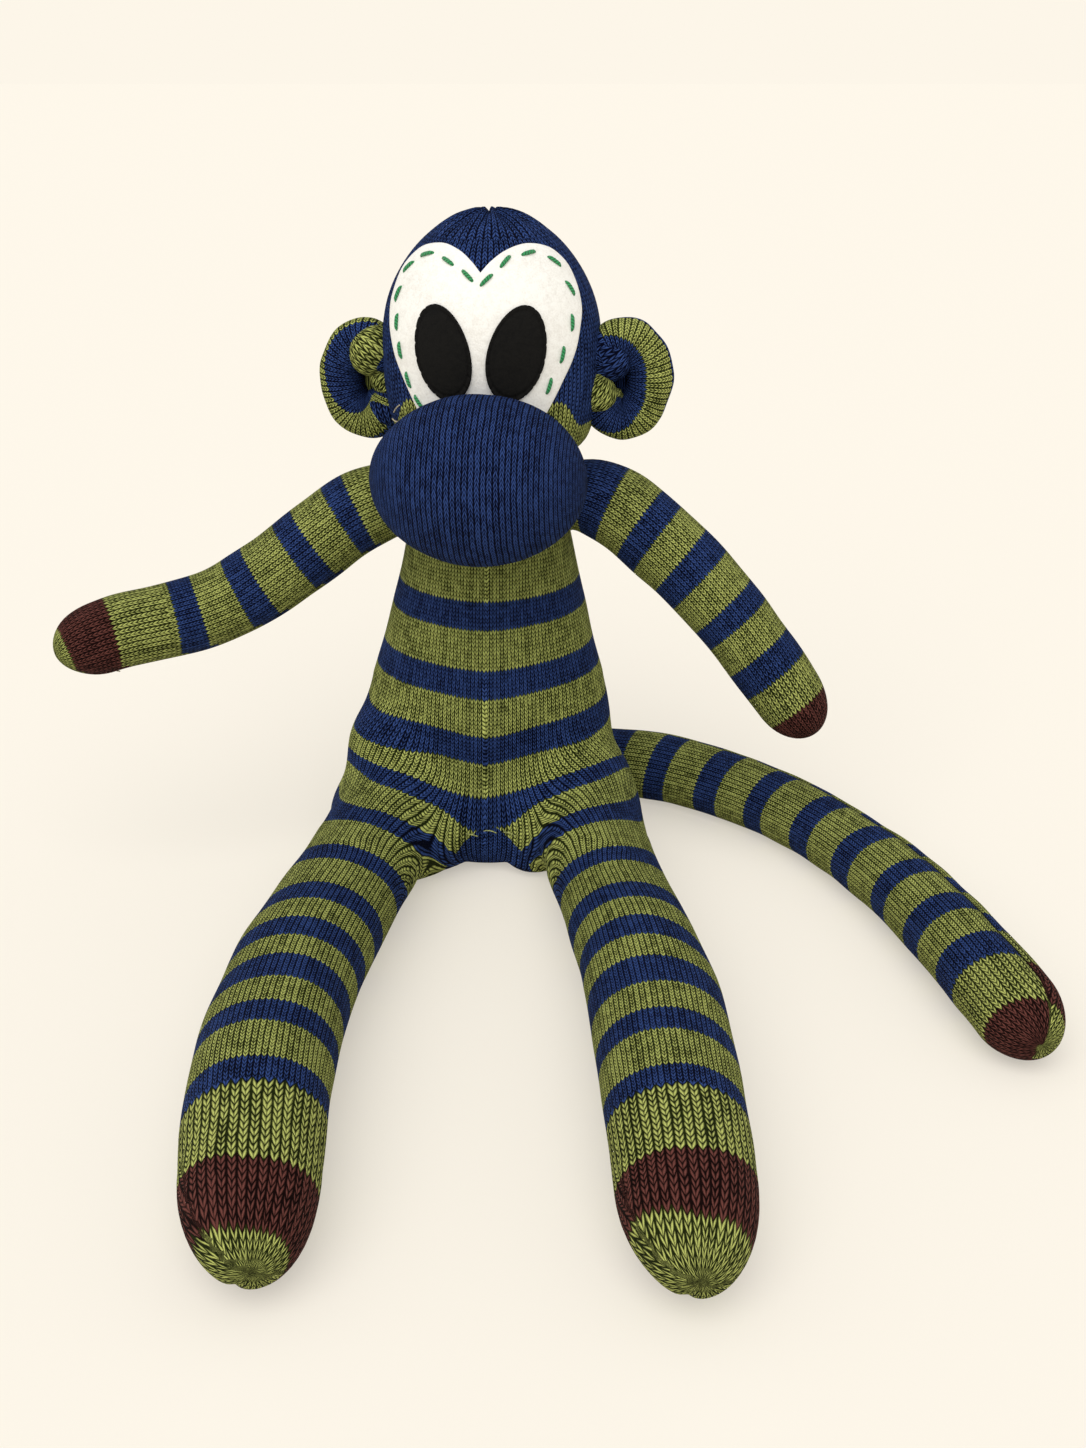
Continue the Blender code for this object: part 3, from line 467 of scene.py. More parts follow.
def leg_forms(sizes):
    """Both legs' tubes, by side."""
    plans = ((LEFT, "hip_left", sizes.left_leg, LEFT_LEG_SHARES, LEFT_LEG_GIRTH_SHARES),
             (RIGHT, "hip_right", sizes.right_leg, RIGHT_LEG_SHARES, RIGHT_LEG_GIRTH_SHARES))
    return {side: Limb(PIVOTS[joint], side, reach, headings, sizes.leg_radius, girths,
                       sizes.leg_end, sizes.floor_flat)
            for side, joint, reach, headings, girths in plans}


def head_half_width(sizes, height):
    """Half width of the head at a height over its widest ring."""
    if height >= 0:
        return sizes.half_width * math.sqrt(max(1 - (height / sizes.crown) ** 2, 0.0))
    return sizes.half_width * float(eased(CHIN_SHARES, min(-height / sizes.chin, 1.0))[0])


def head_frame(sizes):
    """Placement of the head's widest ring: aside of the neck, and turned."""
    place = Matrix.Translation((sizes.shift, 0.0, NECK.z + sizes.rise))
    return place @ Matrix.Rotation(-sizes.turn, 4, "Z")


def on_head(sizes, turn, height, level):
    """Place on the front of the head at a turn from its middle, and the way that it faces."""
    def skin(across, up):
        half = head_half_width(sizes, up)
        return Vector((half * math.sin(across),
                       -half * sizes.depth_share * math.cos(across), up))

    small = 0.0003
    here = skin(turn, height)
    sideways = skin(turn + small / sizes.half_width, height) - here
    upwards = skin(turn, height + small) - here
    outward = sideways.cross(upwards).normalized()
    return here + outward * level, outward


def front_turn(sizes, offset, height):
    """Turn round the head at which its front shows a given offset from the middle."""
    return math.asin(max(min(offset / head_half_width(sizes, height), 1.0), -1.0))


# ---------------------------------------------------------------- meshes

def new_cloth():
    """A mesh in work whose points keep their share round a piece and their place along it."""
    bm = bmesh.new()
    bm.verts.layers.float.new("around")
    bm.verts.layers.float.new("along")
    return bm


def loft(bm, outlines, alongs, arounds=None):
    """Extrude a circle from outline to outline, and return its first and last edges."""
    around, along = bm.verts.layers.float["around"], bm.verts.layers.float["along"]
    sides = len(outlines[0])
    verts = bmesh.ops.create_circle(bm, segments=sides, radius=LIMB_RING)["verts"]
    edges = list({edge for vert in verts for edge in vert.link_edges})
    first = edges
    for number, outline in enumerate(outlines):
        if number:
            grown = bmesh.ops.extrude_edge_only(bm, edges=edges)["geom"]
            fresh = {thing for thing in grown if isinstance(thing, bmesh.types.BMVert)}
            edges = [thing for thing in grown if isinstance(thing, bmesh.types.BMEdge)]
            verts = [next(edge.other_vert(vert) for edge in vert.link_edges
                          if edge.other_vert(vert) in fresh) for vert in verts]
        for place, (vert, point) in enumerate(zip(verts, outline)):
            vert.co = point
            vert[around] = place / sides if arounds is None else arounds[number][place]
            vert[along] = alongs[number]
    return first, edges


def cap(bm, edges, centre, place):
    """Close a loop of edges with a fan about a centre."""
    face = bmesh.ops.contextual_create(bm, geom=edges)["faces"][0]
    pole = bmesh.ops.poke(bm, faces=[face])["verts"][0]
    pole.co = centre
    pole[bm.verts.layers.float["around"]] = -1.0
    pole[bm.verts.layers.float["along"]] = place


def closed(bm, outlines, alongs, start, end, arounds=None):
    """A closed shell through outlines, with a fan at each end."""
    first, last = loft(bm, outlines, alongs, arounds)
    cap(bm, first, start, alongs[0])
    cap(bm, last, end, alongs[-1])


def face_out(bm):
    """Turn every face outward."""
    bmesh.ops.recalc_face_normals(bm, faces=bm.faces)


def middle_of(points):
    """The mean of some points."""
    return sum(points, Vector()) / len(points)


def lay_knit(bm, place=lambda share, row: (share, row)):
    """Write the Knit map of wales and courses, unbroken where the cloth closes on itself."""
    around, along = bm.verts.layers.float["around"], bm.verts.layers.float["along"]
    knit = bm.loops.layers.uv.new("Knit")
    for face in bm.faces:
        shares = [loop.vert[around] for loop in face.loops]
        far = max(shares)
        shares = [share + 1 if 0 <= share < far - 0.5 else share for share in shares]
        known = [share for share in shares if share >= 0]
        middle = sum(known) / len(known)
        for loop, share in zip(face.loops, shares):
            loop[knit].uv = place(share if share >= 0 else middle, loop.vert[along])


def add_object(name, data):
    """A new object in the scene."""
    made = bpy.data.objects.new(name, data)
    bpy.context.scene.collection.objects.link(made)
    return made


def make_piece(bm, name, finish):
    """Make a named, smooth object of a mesh in work."""
    mesh = bpy.data.meshes.new(name)
    bm.to_mesh(mesh)
    bm.free()
    mesh.shade_smooth()
    piece = add_object(name, mesh)
    mesh.materials.append(finish)
    return piece


def ring(placed, half_x, half_y, sides, start=0.0):
    """Points of an oval ring."""
    return [placed @ Vector((half_x * math.cos(start + 2 * math.pi * number / sides),
                             half_y * math.sin(start + 2 * math.pi * number / sides), 0.0))
            for number in range(sides)]


def lumps(points, amount, size, seed):
    """Uneven stuffing: a slow swell of a surface's points along their way from the middle."""
    centre = middle_of(points)
    for point in points:
        swell = noise.noise(point / size + Vector((seed, 0.0, 0.0)))
        point += (point - centre).normalized() * (amount * swell)


# ---------------------------------------------------------------- shader maths

class Measure:
    """A number that varies over a surface. Python's operators on it add Math nodes."""

    def __init__(self, finish, socket):
        self.finish = finish
        self.socket = socket

    def __add__(self, other):
        return self.finish.maths("ADD", self, other)

    def __sub__(self, other):
        return self.finish.maths("SUBTRACT", self, other)

    def __rsub__(self, other):
        return self.finish.maths("SUBTRACT", other, self)

    def __mul__(self, other):
        return self.finish.maths("MULTIPLY", self, other)

    def __truediv__(self, other):
        return self.finish.maths("DIVIDE", self, other)

    def __abs__(self):
        return self.finish.maths("ABSOLUTE", self)

    def __gt__(self, other):
        return self.finish.maths("GREATER_THAN", self, other)

    def whole(self):
        """The number rounded down."""
        return self.finish.maths("FLOOR", self)

    def rest(self):
        """What the number has past a whole one."""
        return self.finish.maths("FRACT", self)

    def held(self, low=0.0, high=1.0):
        """The number kept within limits."""
        kept = self if low is None else self.finish.maths("MAXIMUM", self, low)
        return kept if high is None else self.finish.maths("MINIMUM", kept, high)


class Finish:
    """A procedural material, built on its Principled shader."""

    def __init__(self, name, constants):
        self.material = bpy.data.materials.new(name)
        self.material.use_nodes = True
        self.tree = self.material.node_tree
        self.shader = self.tree.nodes["Principled BSDF"]
        for socket, value in constants.items():
            self.shader.inputs[socket].default_value = value

    def feed(self, socket, value):
        """Link a value to a socket, or set it there."""
        if isinstance(value, Measure):
            value = value.socket
        if isinstance(value, bpy.types.NodeSocket):
            self.tree.links.new(value, socket)
        else:
            socket.default_value = value

    def node(self, kind, settings=None, inputs=None):
        """Add a node, with its settings first and then its sockets."""
        made = self.tree.nodes.new(kind)
        for setting, value in (settings or {}).items():
            if setting == "stops":
                ramp = made.color_ramp
                while len(ramp.elements) < len(value):
                    ramp.elements.new(1.0)
                for element, (position, colour) in zip(ramp.elements, value):
                    element.position, element.color = position, (*colour, 1.0)
            elif setting == "interpolation":
                made.color_ramp.interpolation = value
            else:
                setattr(made, setting, value)
        for socket, value in (inputs or {}).items():
            self.feed(made.inputs[socket], value)
        return made

    def maths(self, operation, *values):
        """A Math node on one, two or three values."""
        made = self.node("ShaderNodeMath", {"operation": operation},
                         dict(enumerate(values)))
        return Measure(self, made.outputs[0])

    def mix(self, factor, first, second):
        """A colour between two colours."""
        first, second = ((*value, 1.0) if isinstance(value, (tuple, list)) else value
                         for value in (first, second))
        made = self.node("ShaderNodeMix", {"data_type": "RGBA"},
                         {0: factor, 6: first, 7: second})
        return made.outputs[2]

    def ramp(self, value, stops):
        """A colour ramp in steps."""
        made = self.node("ShaderNodeValToRGB", {"interpolation": "CONSTANT", "stops": stops},
                         {"Fac": value})
        return made.outputs["Color"]

    def noise(self, place, scale, detail=2.0):
        """Noise from 0 to 1 about a half."""
        made = self.node("ShaderNodeTexNoise", {},
                         {"Vector": place, "Scale": scale, "Detail": detail})
        return Measure(self, made.outputs[0])

    def chance(self, dimensions, socket, place):
        """A random number about 0 for each place."""
        made = self.node("ShaderNodeTexWhiteNoise", {"noise_dimensions": dimensions},
                         {socket: place})
        return Measure(self, made.outputs["Value"]) - 0.5

    def knit_map(self):
        """The piece's own wale and course numbers."""
        spot = self.node("ShaderNodeUVMap", {"uv_map": "Knit"}).outputs["UV"]
        split = self.node("ShaderNodeSeparateXYZ", {}, {"Vector": spot})
        return Measure(self, split.outputs["X"]), Measure(self, split.outputs["Y"])

    def place(self):
        """Object coordinates."""
        return self.node("ShaderNodeTexCoord").outputs["Object"]

    def surface(self, colour, height, distance):
        """Feed the shader its colour and its relief."""
        bump = self.node("ShaderNodeBump", {}, {"Strength": 1.0, "Distance": distance,
                                                "Height": height})
        self.feed(self.shader.inputs["Base Color"], colour)
        self.feed(self.shader.inputs["Normal"], bump.outputs["Normal"])
        return self.material


class Knitting:
    """Wales and courses along a knitted piece, whole courses between changes of gauge."""

    def __init__(self, gauges, stripes):
        self.gauges, self.stripes = gauges, stripes
        self.lengths, self.rows = [0.0], [0]
        for end, wales, course in gauges:
            self.rows.append(self.rows[-1] + round((end - self.lengths[-1]) / course))
            self.lengths.append(end)

    def course(self, distance):
        """Course number at a distance along the piece."""
        return float(np.interp(distance, self.lengths, self.rows))


def knit(name, knitting, cloth, seam=0.0, heel=False, lean=1.0, drift=0.3):
    """Knitted cloth: leaning strands in wales, coloured course by course."""
    finish = Finish(name, {"Roughness": 0.9, "Specular IOR Level": 0.05})
    around, course = finish.knit_map()
    place = finish.place()
    # Wales and courses wander a little, and both change at each change of gauge
    slow = finish.noise(place, 70.0) - 0.5
    uneven = finish.noise(place, 330.0, 1.0) - 0.5
    wales, size = knitting.gauges[0][1], 1.0
    for (end, count, height), before, row in zip(knitting.gauges[1:], knitting.gauges,
                                                 knitting.rows[1:]):
        past = course > row
        wales = past * (count - before[1]) + wales
        size = past * ((height - before[2]) / knitting.gauges[0][2]) + size
    wale = around * wales + slow * drift + uneven * 0.15
    # Two strands lean together in every wale, highest along their middle
    across = abs(wale.rest() - 0.5) * 2.0
    lean_course = course + uneven * drift + (across - 1.0) * lean
    row = lean_course.whole()
    part = (lean_course - row) * 2.0 - 1.0
    side = (across - 0.4) * 1.9
    strand = ((1.0 - part * part * 0.94) * (1.0 - side * side)).held(high=None)

    colours = {"green": (cloth.green, cloth.green_gap), "navy": (cloth.navy, cloth.navy_gap),
               "brown": (cloth.brown, cloth.brown_gap)}
    # A ramp with one step for each stripe, read at the middle of the course
    total = knitting.rows[-1]
    at = (row + 0.5) / total + 0.5 / 255
    tones = []
    for tone in (0, 1):
        stops = [(round(knitting.course(start)) / total, tuple(colours[colour][tone]))
                 for start, colour in knitting.stripes]
        tones.append(finish.ramp(at, stops) if len(stops) > 1 else stops[0][1])
    if heel:
        spot = finish.node("ShaderNodeAttribute", {"attribute_name": "heel"}).outputs["Fac"]
        inside = (Measure(finish, spot) + uneven * 0.06) > 0.0
        tones = [finish.mix(inside, tones[tone], tuple(colours["navy"][tone]))
                 for tone in (0, 1)]
    # Lit strands lie over dark gaps, with odd stitches, odd wales and fibres
    stitch = finish.node("ShaderNodeCombineXYZ", {}, {"X": wale.whole(), "Y": row}).outputs[0]
    odd = finish.chance("2D", "Vector", stitch)
    rib = finish.chance("1D", "W", wale.whole())
    fibre = finish.noise(place, 2600.0, 1.0)
    lit = (strand * 1.55 - 0.4 + odd * 0.5 + uneven * 0.5 + rib * 0.24 + slow * 0.4
           + (fibre - 0.5) * 0.4)
    height = strand * size
    if seam:
        # Along a sewn seam the cloth dips into a crease, and its strands are painted darker there as painted
        # shade
        edge = finish.maths("MINIMUM", around, abs(1.0 - around)) / seam
        fold = edge.held(low=None)
        height = height + fold * 1.6
        lit = lit - (1.0 - fold) * 0.75
    colour = finish.mix(lit.held(), tones[1], tones[0])
    return finish.surface(colour, height + fibre * 0.2, cloth.relief)


def felt(name, colour, shade, grain):
    """Pressed felt: matted fibres and faint stains."""
    finish = Finish(name, {"Roughness": 0.95, "Specular IOR Level": 0.12})
    place = finish.place()
    fine = finish.noise(place, 1500.0, 4.0)
    stain = finish.noise(place, 60.0, 3.0)
    tufts = finish.noise(place, 420.0, 3.0)
    matted = (fine * 0.6 + tufts * 0.5 + stain * 0.3 - 0.4) * 2.8
    mixed = finish.mix(matted.held(), shade, tuple(colour))
    return finish.surface(mixed, fine * 0.6 + tufts, grain)


def thread(name, colour, shade, turns):
    """Twisted thread: plies that run slantwise round it."""
    finish = Finish(name, {"Roughness": 0.6, "Specular IOR Level": 0.35, "Sheen Weight": 0.2})
    around, along = finish.knit_map()
    twist = (around * 2.0 + along * turns).rest() * 2.0 - 1.0
    ply = 1.0 - twist * twist
    # Painted shade: the shade colour fills the grooves between plies, and the thread's own colour their
    # crowns
    return finish.surface(finish.mix(ply, shade, tuple(colour)), ply, 0.00035)


# ---------------------------------------------------------------- body and legs

def body_outlines(sizes):
    """Rings of the body from the seat up, with the dome that the head sits on."""
    rings = []
    for number in range(BODY_RINGS + 1):
        height = number / BODY_RINGS
        width, depth = eased(BODY_SHARES, height)
        place = Vector((-sizes.sway * (1 - height), -sizes.lean * (1 - height), NECK.z * height))
        rings.append(ring(Matrix.Translation(place), sizes.half_width * width,
                          sizes.half_depth * depth, BODY_SIDES))
    for angle in range(8, 88, 8):
        turn = math.radians(angle)
        place = Vector((0.0, 0.0, NECK.z + sizes.dome * math.sin(turn)))
        half = sizes.dome * math.cos(turn)
        rings.append(ring(Matrix.Translation(place), half, half, BODY_SIDES))
    return rings


def joined_cloth(sizes, legs):
    """The body and both legs as one skin, drawn together where they meet."""
    bm = new_cloth()
    outlines = body_outlines(sizes)
    closed(bm, outlines, [0.0] * len(outlines), Vector((-sizes.sway, -sizes.lean, 0.0)),
           Vector((0.0, 0.0, NECK.z + sizes.dome)))
    for leg in legs:
        outlines = []
        for distance in leg.distances(leg.ball * 0.98):
            centre, direction = leg.at(distance)
            half = leg.half(distance)
            outline = ring(station(centre, direction, UP), half, half, LIMB_SIDES)
            for point in outline:
                point.z = max(point.z, 0.0)
            outlines.append(outline)
        closed(bm, outlines, [0.0] * len(outlines), leg.at(-leg.ball)[0],
               leg.at(leg.length)[0])
    for middle, half in FULLNESS:
        place = Matrix.Translation(middle) @ Matrix.Diagonal((*half, 1.0))
        bmesh.ops.create_icosphere(bm, subdivisions=4, radius=1.0, matrix=place)
    face_out(bm)
    mesh = bpy.data.meshes.new("joined")
    bm.to_mesh(mesh)
    bm.free()
    rough = add_object("joined", mesh)
    remesh = rough.modifiers.new("Join", "REMESH")
    remesh.mode, remesh.voxel_size = "VOXEL", sizes.voxel
    bpy.context.view_layer.update()
    depsgraph = bpy.context.evaluated_depsgraph_get()
    whole = bpy.data.meshes.new_from_object(rough.evaluated_get(depsgraph))
    bpy.data.objects.remove(rough)
    bm = new_cloth()
    bm.from_mesh(whole)
    return bm


def nearest_on(leg, spots):
    """Distance along a leg of each spot, and its place across it: outward and up."""
    back = np.linspace(-0.09, 0.0, 46)[:-1]
    samples = [leg.at(distance)[0] for distance in back] + leg.points
    lengths = np.concatenate([back, np.linspace(0, leg.length, LINE_STEPS + 1)])
    line = np.array(samples)
    spots_2d, line_2d = spots[:, :2], line[:, :2]
    nearest = np.argmin(((spots_2d[:, None] - line_2d[None]) ** 2).sum(2), axis=1)
    low = np.clip(nearest - 1, 0, len(line) - 2)
    high = np.clip(nearest + 1, 1, len(line) - 1)
    span = line_2d[high] - line_2d[low]
    share = ((spots_2d - line_2d[low]) * span).sum(1) / (span ** 2).sum(1)
    distance = lengths[low] + share * (lengths[high] - lengths[low])
    centre = line[low] + share[:, None] * (line[high] - line[low])
    offset = spots - centre
    across = np.stack([-span[:, 1], span[:, 0]], 1) / np.linalg.norm(span, axis=1)[:, None]
    outward = (offset[:, :2] * across).sum(1)
    return distance, outward, offset[:, 2]


def takeover(ranges, past, height, aside, distance):
    """How far the leg's knit has taken over from the body's, from 0 to 1."""
    by_course, (none, full), by_aside, by_distance = ranges
    share = smooth(*by_course, past) * (1 - smooth(full, none, height)) * smooth(*by_aside, aside)
    return np.maximum(share, smooth(*by_distance, distance))


def body_knit(sizes, leg, side, spots):
    """Share round and distance along the sock of spots on the body or on one leg, and how deep
    the toe's seam draws them in."""
    x, y, z = spots.T
    distance, outward, rise = nearest_on(leg, spots)
    outward = outward * side
    leg_round = ((np.degrees(np.arctan2(outward, rise)) + 90) / 360) % 1.0
    samples = np.linspace(0, leg.length, GIRTH_SAMPLES)
    girth = np.interp(distance, samples, [leg.girth(float(step)) for step in samples])
    share = np.clip(np.hypot(outward, rise) / girth, 0, 1)
    # Over the rounded end the wales run straight towards the seam across the toe
    ended = np.where(distance > leg.length - leg.end, 1.0, 0.0)
    toe = toe_turn(leg_round, share, TOE_SEAMS[side])
    leg_round = leg_round + (toe - leg_round) * ended
    # The leg's courses lean forward below its top and slant outward
    rows = np.array(LEG_COURSES)
    shifted = distance + side * np.interp(distance, rows[:, 0], rows[:, 5])
    top, inner, outer, slant = (np.interp(shifted, rows[:, 0], rows[:, column])
                                for column in (1, 2, 3, 4))
    top = top + leg.arc(distance) - distance
    lean = np.where(outward < 0, inner, outer) * (1 - ended * smooth(1.0, 0.5, share))
    leg_down = top + lean * (girth - rise) + slant * outward
    over = np.clip((distance - leg.length + leg.end) / leg.end, 0, 1)
    leg_down = leg_down + TOE_SLANT * np.maximum(-side * outward, 0) * smooth(0.0, 0.5, over)
    seam = np.sin((leg_round - TOE_SEAMS[side]) * 2 * math.pi) * share * girth
    crease = smooth(0.35, 0.75, over) * np.exp(-(seam / SEAM_HALF_WIDTH) ** 2)
    # The body's courses are level, but for the dip over the middle of its front
    low = 1 - z / NECK.z
    front = np.arctan2(np.abs(x + sizes.sway * low), -(y + sizes.lean * low))
    dip = np.interp(z, *zip(*BODY_DIPS)) * np.exp(-(front / DIP_REACH) ** 2)
    body_down = NECK.z - z + BACK_DROP * y - dip
    weight, round_weight = (
        takeover(ranges, leg_down - body_down, z, np.abs(x), distance)
        for ranges in (COURSE_TAKEOVER, WALE_TAKEOVER))
    gap = leg_round - front / math.pi
    leg_round = np.where(gap > 0.5, leg_round - 1, np.where(gap < -0.5, leg_round + 1, leg_round))
    mixed = (front / math.pi + (leg_round - front / math.pi) * round_weight) % 1.0
    return mixed, body_down + (leg_down - body_down) * weight, crease


def smooth_groin(bm, legs):
    """Draw the cloth together where the legs meet the body."""
    bm.verts.ensure_lookup_table()
    spots = np.array([vert.co for vert in bm.verts])
    near = np.zeros(len(spots))
    for leg in legs:
        distance, outward, rise = nearest_on(leg, spots)
        close = np.hypot(outward, rise) - leg.ball
        near = np.maximum(near, (distance < 0.045) * (close < 0.03) * (spots[:, 2] > 0.006))
    chosen = [vert for vert, yes in zip(bm.verts, near) if yes]
    for verts in [chosen] * GROIN_PASSES + [bm.verts]:
        bmesh.ops.smooth_vert(bm, verts=verts, factor=0.5, use_axis_x=True, use_axis_y=True,
                              use_axis_z=True)
    for vert in bm.verts:
        vert.co.z = max(vert.co.z, 0.0)


def leg_part(side):
    """Where a leg's cloth starts to bend, and the way that it bends to."""
    mirror = Matrix.Diagonal((side, 1.0, 1.0))
    return mirror @ LEG_PART, mirror @ LEG_PART_NORMAL


def make_body(context):
    """Make the knitted body and both legs, one cloth that bends at the hips"""
    sizes, limbs = context.scene.doll_body, context.scene.doll_limbs
    legs = leg_forms(limbs)
    bm = joined_cloth(sizes, legs.values())
    smooth_groin(bm, legs.values())
    bm.verts.ensure_lookup_table()
    around, along = bm.verts.layers.float["around"], bm.verts.layers.float["along"]
    heel = bm.verts.layers.float.new("heel")
    spots = np.array([vert.co for vert in bm.verts])
    turns, downs = np.zeros(len(spots)), np.zeros(len(spots))
    creases = np.zeros(len(spots))
    for side, leg in legs.items():
        mine = spots[:, 0] * side >= 0
        turns[mine], downs[mine], creases[mine] = body_knit(sizes, leg, side, spots[mine])
    reach = np.array((sizes.heel_width, sizes.heel_depth, sizes.heel_height))
    inside = 1 - np.linalg.norm((spots - np.array((-0.002, 0.0, 0.0))) / reach, axis=1)
    under, halves = np.array(UNDER_SEAT)
    below = 1 - np.linalg.norm((spots - under) / halves, axis=1)
    inside = np.maximum(inside, below)
    knitting = Knitting(BODY_GAUGES, BODY_STRIPES)
    for vert, turn, down, deep, crease in zip(bm.verts, turns, downs, inside, creases):
        vert[around] = turn
        vert[along] = knitting.course(down)
        vert[heel] = deep
        swell = BODY_LUMP * noise.noise(vert.co / BODY_LUMP_SIZE) - SEAM_DEPTH * float(crease)
        vert.co += vert.normal * swell if vert.co.z > 0.004 else Vector()
    lay_knit(bm)
    finish = knit("striped knit of the body", knitting, context.scene.doll_cloth, heel=True)
    parts = {"knit_body": None, "knit_leg_left": LEFT, "knit_leg_right": RIGHT}
    for name, part in parts.items():
        copy = bm.copy()
        dropped = []
        for face in copy.faces:
            centre = face.calc_center_median()
            side = LEFT if centre.x >= 0 else RIGHT
            start, normal = leg_part(side)
            owner = side if (centre - start).dot(normal) > 0 else None
            if owner != part:
                dropped.append(face)
        bmesh.ops.delete(copy, geom=dropped, context="FACES")
        piece = make_piece(copy, name, finish)
        if part is None:
            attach(piece, "torso")
            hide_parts("torso_skin", "torso_stuffing")
        else:
            limb = "leg_left" if part == LEFT else "leg_right"
            start, normal = leg_part(part)
            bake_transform(piece, "torso", limb, start, start + normal * LEG_BEND)
            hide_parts(limb + "_skin", limb + "_stuffing")
    bm.free()


# ---------------------------------------------------------------- arms and tail

def make_limb(name, limb, stripes, gauges, cloth, seam_turn, offset, seed):
    """A stuffed tube with one sewn seam, across which its stripes don't quite meet."""
    bm = new_cloth()
    outlines, alongs, arounds = [], [], []
    for distance in limb.distances(limb.ball * 0.9):
        centre, direction = limb.at(distance)
        half = limb.half(distance)
        outline = ring(station(centre, direction, UP), half, half, LIMB_SIDES, seam_turn)
        if distance > 0:
            lumps(outline, 0.0006, 0.018, seed)
        for number, point in enumerate(outline):
            turn = min(number, LIMB_SIDES - number) / LIMB_SIDES
            dent = math.exp(-(turn / 0.018) ** 2)
            point += (centre - point) * (0.045 * dent)
            point.z = max(point.z, 0.0)
        outlines.append(outline)
        alongs.append(float(limb.arc(distance)))
        turns = np.arange(LIMB_SIDES) / LIMB_SIDES
        if distance > limb.length - limb.end:
            turns = toe_turn(turns, half / limb.girth(distance), 0.25) % 1.0
        arounds.append(turns)
    closed(bm, outlines, alongs, limb.at(-limb.ball)[0], limb.at(limb.length)[0], arounds)
    face_out(bm)
    knitting = Knitting(gauges, stripes)
    lay_knit(bm, lambda share, row: (share, knitting.course(row) + offset * (share - 0.5)))
    return make_piece(bm, name, knit("striped knit of " + name, knitting, cloth, seam=0.012))


def make_arms(context):
    """Make the two knitted arms"""
    sizes, cloth = context.scene.doll_limbs, context.scene.doll_cloth
    plans = (
        ("knit_arm_right", "arm_right", "shoulder_right", RIGHT, sizes.right_arm,
         RIGHT_ARM_SHARES, RIGHT_ARM_STRIPES, math.radians(-238), 2.0),
        ("knit_arm_left", "arm_left", "shoulder_left", LEFT, sizes.left_arm,
         LEFT_ARM_SHARES, LEFT_ARM_STRIPES, math.radians(-285), -4.0))
    for name, body, joint, side, reach, headings, stripes, seam, offset in plans:
        limb = Limb(PIVOTS[joint], side, reach, headings, sizes.arm_radius,
                    ARM_GIRTH_SHARES, sizes.arm_end)
        piece = make_limb(name, limb, stripes, ARM_GAUGES, cloth, seam, offset, side)
        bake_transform(piece, "torso", body, limb.at(0.0)[0], limb.at(LIMB_BEND)[0])
        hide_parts(body + "_skin", body + "_stuffing")


def make_tail(context):
    """Make the long knitted tail"""
    sizes = context.scene.doll_limbs
    limb = Limb(PIVOTS["tail_swing"], LEFT, sizes.tail, TAIL_SHARES, sizes.tail_radius,
                TAIL_GIRTH_SHARES, sizes.tail_end, sizes.floor_flat)
    piece = make_limb("knit_tail", limb, TAIL_STRIPES, TAIL_GAUGES,
                      context.scene.doll_cloth, math.radians(-112), 10.0, 5.0)
    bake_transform(piece, "torso", "tail", limb.at(0.0)[0], limb.at(LIMB_BEND)[0])
    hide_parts("tail_skin", "tail_stuffing")


# ---------------------------------------------------------------- head

def make_head(context):
    """Make the knitted head, gathered at its crown and at its neck"""
    sizes = context.scene.doll_head
    placed = head_frame(sizes)
    heights = [-sizes.chin * (1 - step / 24) for step in range(24)]
    heights += [sizes.crown * math.sin(math.pi / 2 * step / 30) for step in range(30)]
    heights.append(sizes.crown * 0.9997)
    bm = new_cloth()
    outlines, alongs, before = [], [0.0], None
    for height in heights:
        half = head_half_width(sizes, height)
        if before:
            alongs.append(alongs[-1] + math.hypot(height - before[0], half - before[1]))
        before = (height, half)
        flat = placed @ Matrix.Translation((0.0, 0.0, height))
        outline = ring(flat, half, half * sizes.depth_share, HEAD_SIDES, math.pi / 2)
        lumps(outline, 0.0005, 0.03, 9.0)
        outlines.append(outline)
    closed(bm, outlines, alongs, placed @ Vector((0.0, 0.0, heights[0])),
           placed @ Vector((0.0, 0.0, sizes.crown)))
    face_out(bm)
    knitting = Knitting(HEAD_GAUGES, HEAD_STRIPES)
    along = bm.verts.layers.float["along"]
    for vert in bm.verts:
        spot = placed.inverted() @ vert.co
        front = math.degrees(math.atan2(abs(spot.x), -spot.y))
        vert[along] -= 0.012 * float(smooth(64, 44, front)) * float(smooth(0.02, 0.0, spot.z))
        reach = math.hypot(spot.x, spot.y)
        fold = math.cos(11 * math.atan2(spot.x, spot.y) + 2.0 * noise.noise(spot * 90))
        gather = smooth(0.027, 0.01, reach) * smooth(0.0, 0.004, reach) * (spot.z > 0)
        vert.co.z += 0.001 * float(gather) * fold - 0.0012 * float(smooth(0.006, 0.0, reach))
    lay_knit(bm, lambda share, row: (share, knitting.course(row)))
    finish = knit("navy knit of the head", knitting, context.scene.doll_cloth)
    piece = make_piece(bm, "knit_head", finish)
    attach(piece, "head")
    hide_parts("head_skin", "head_stuffing")


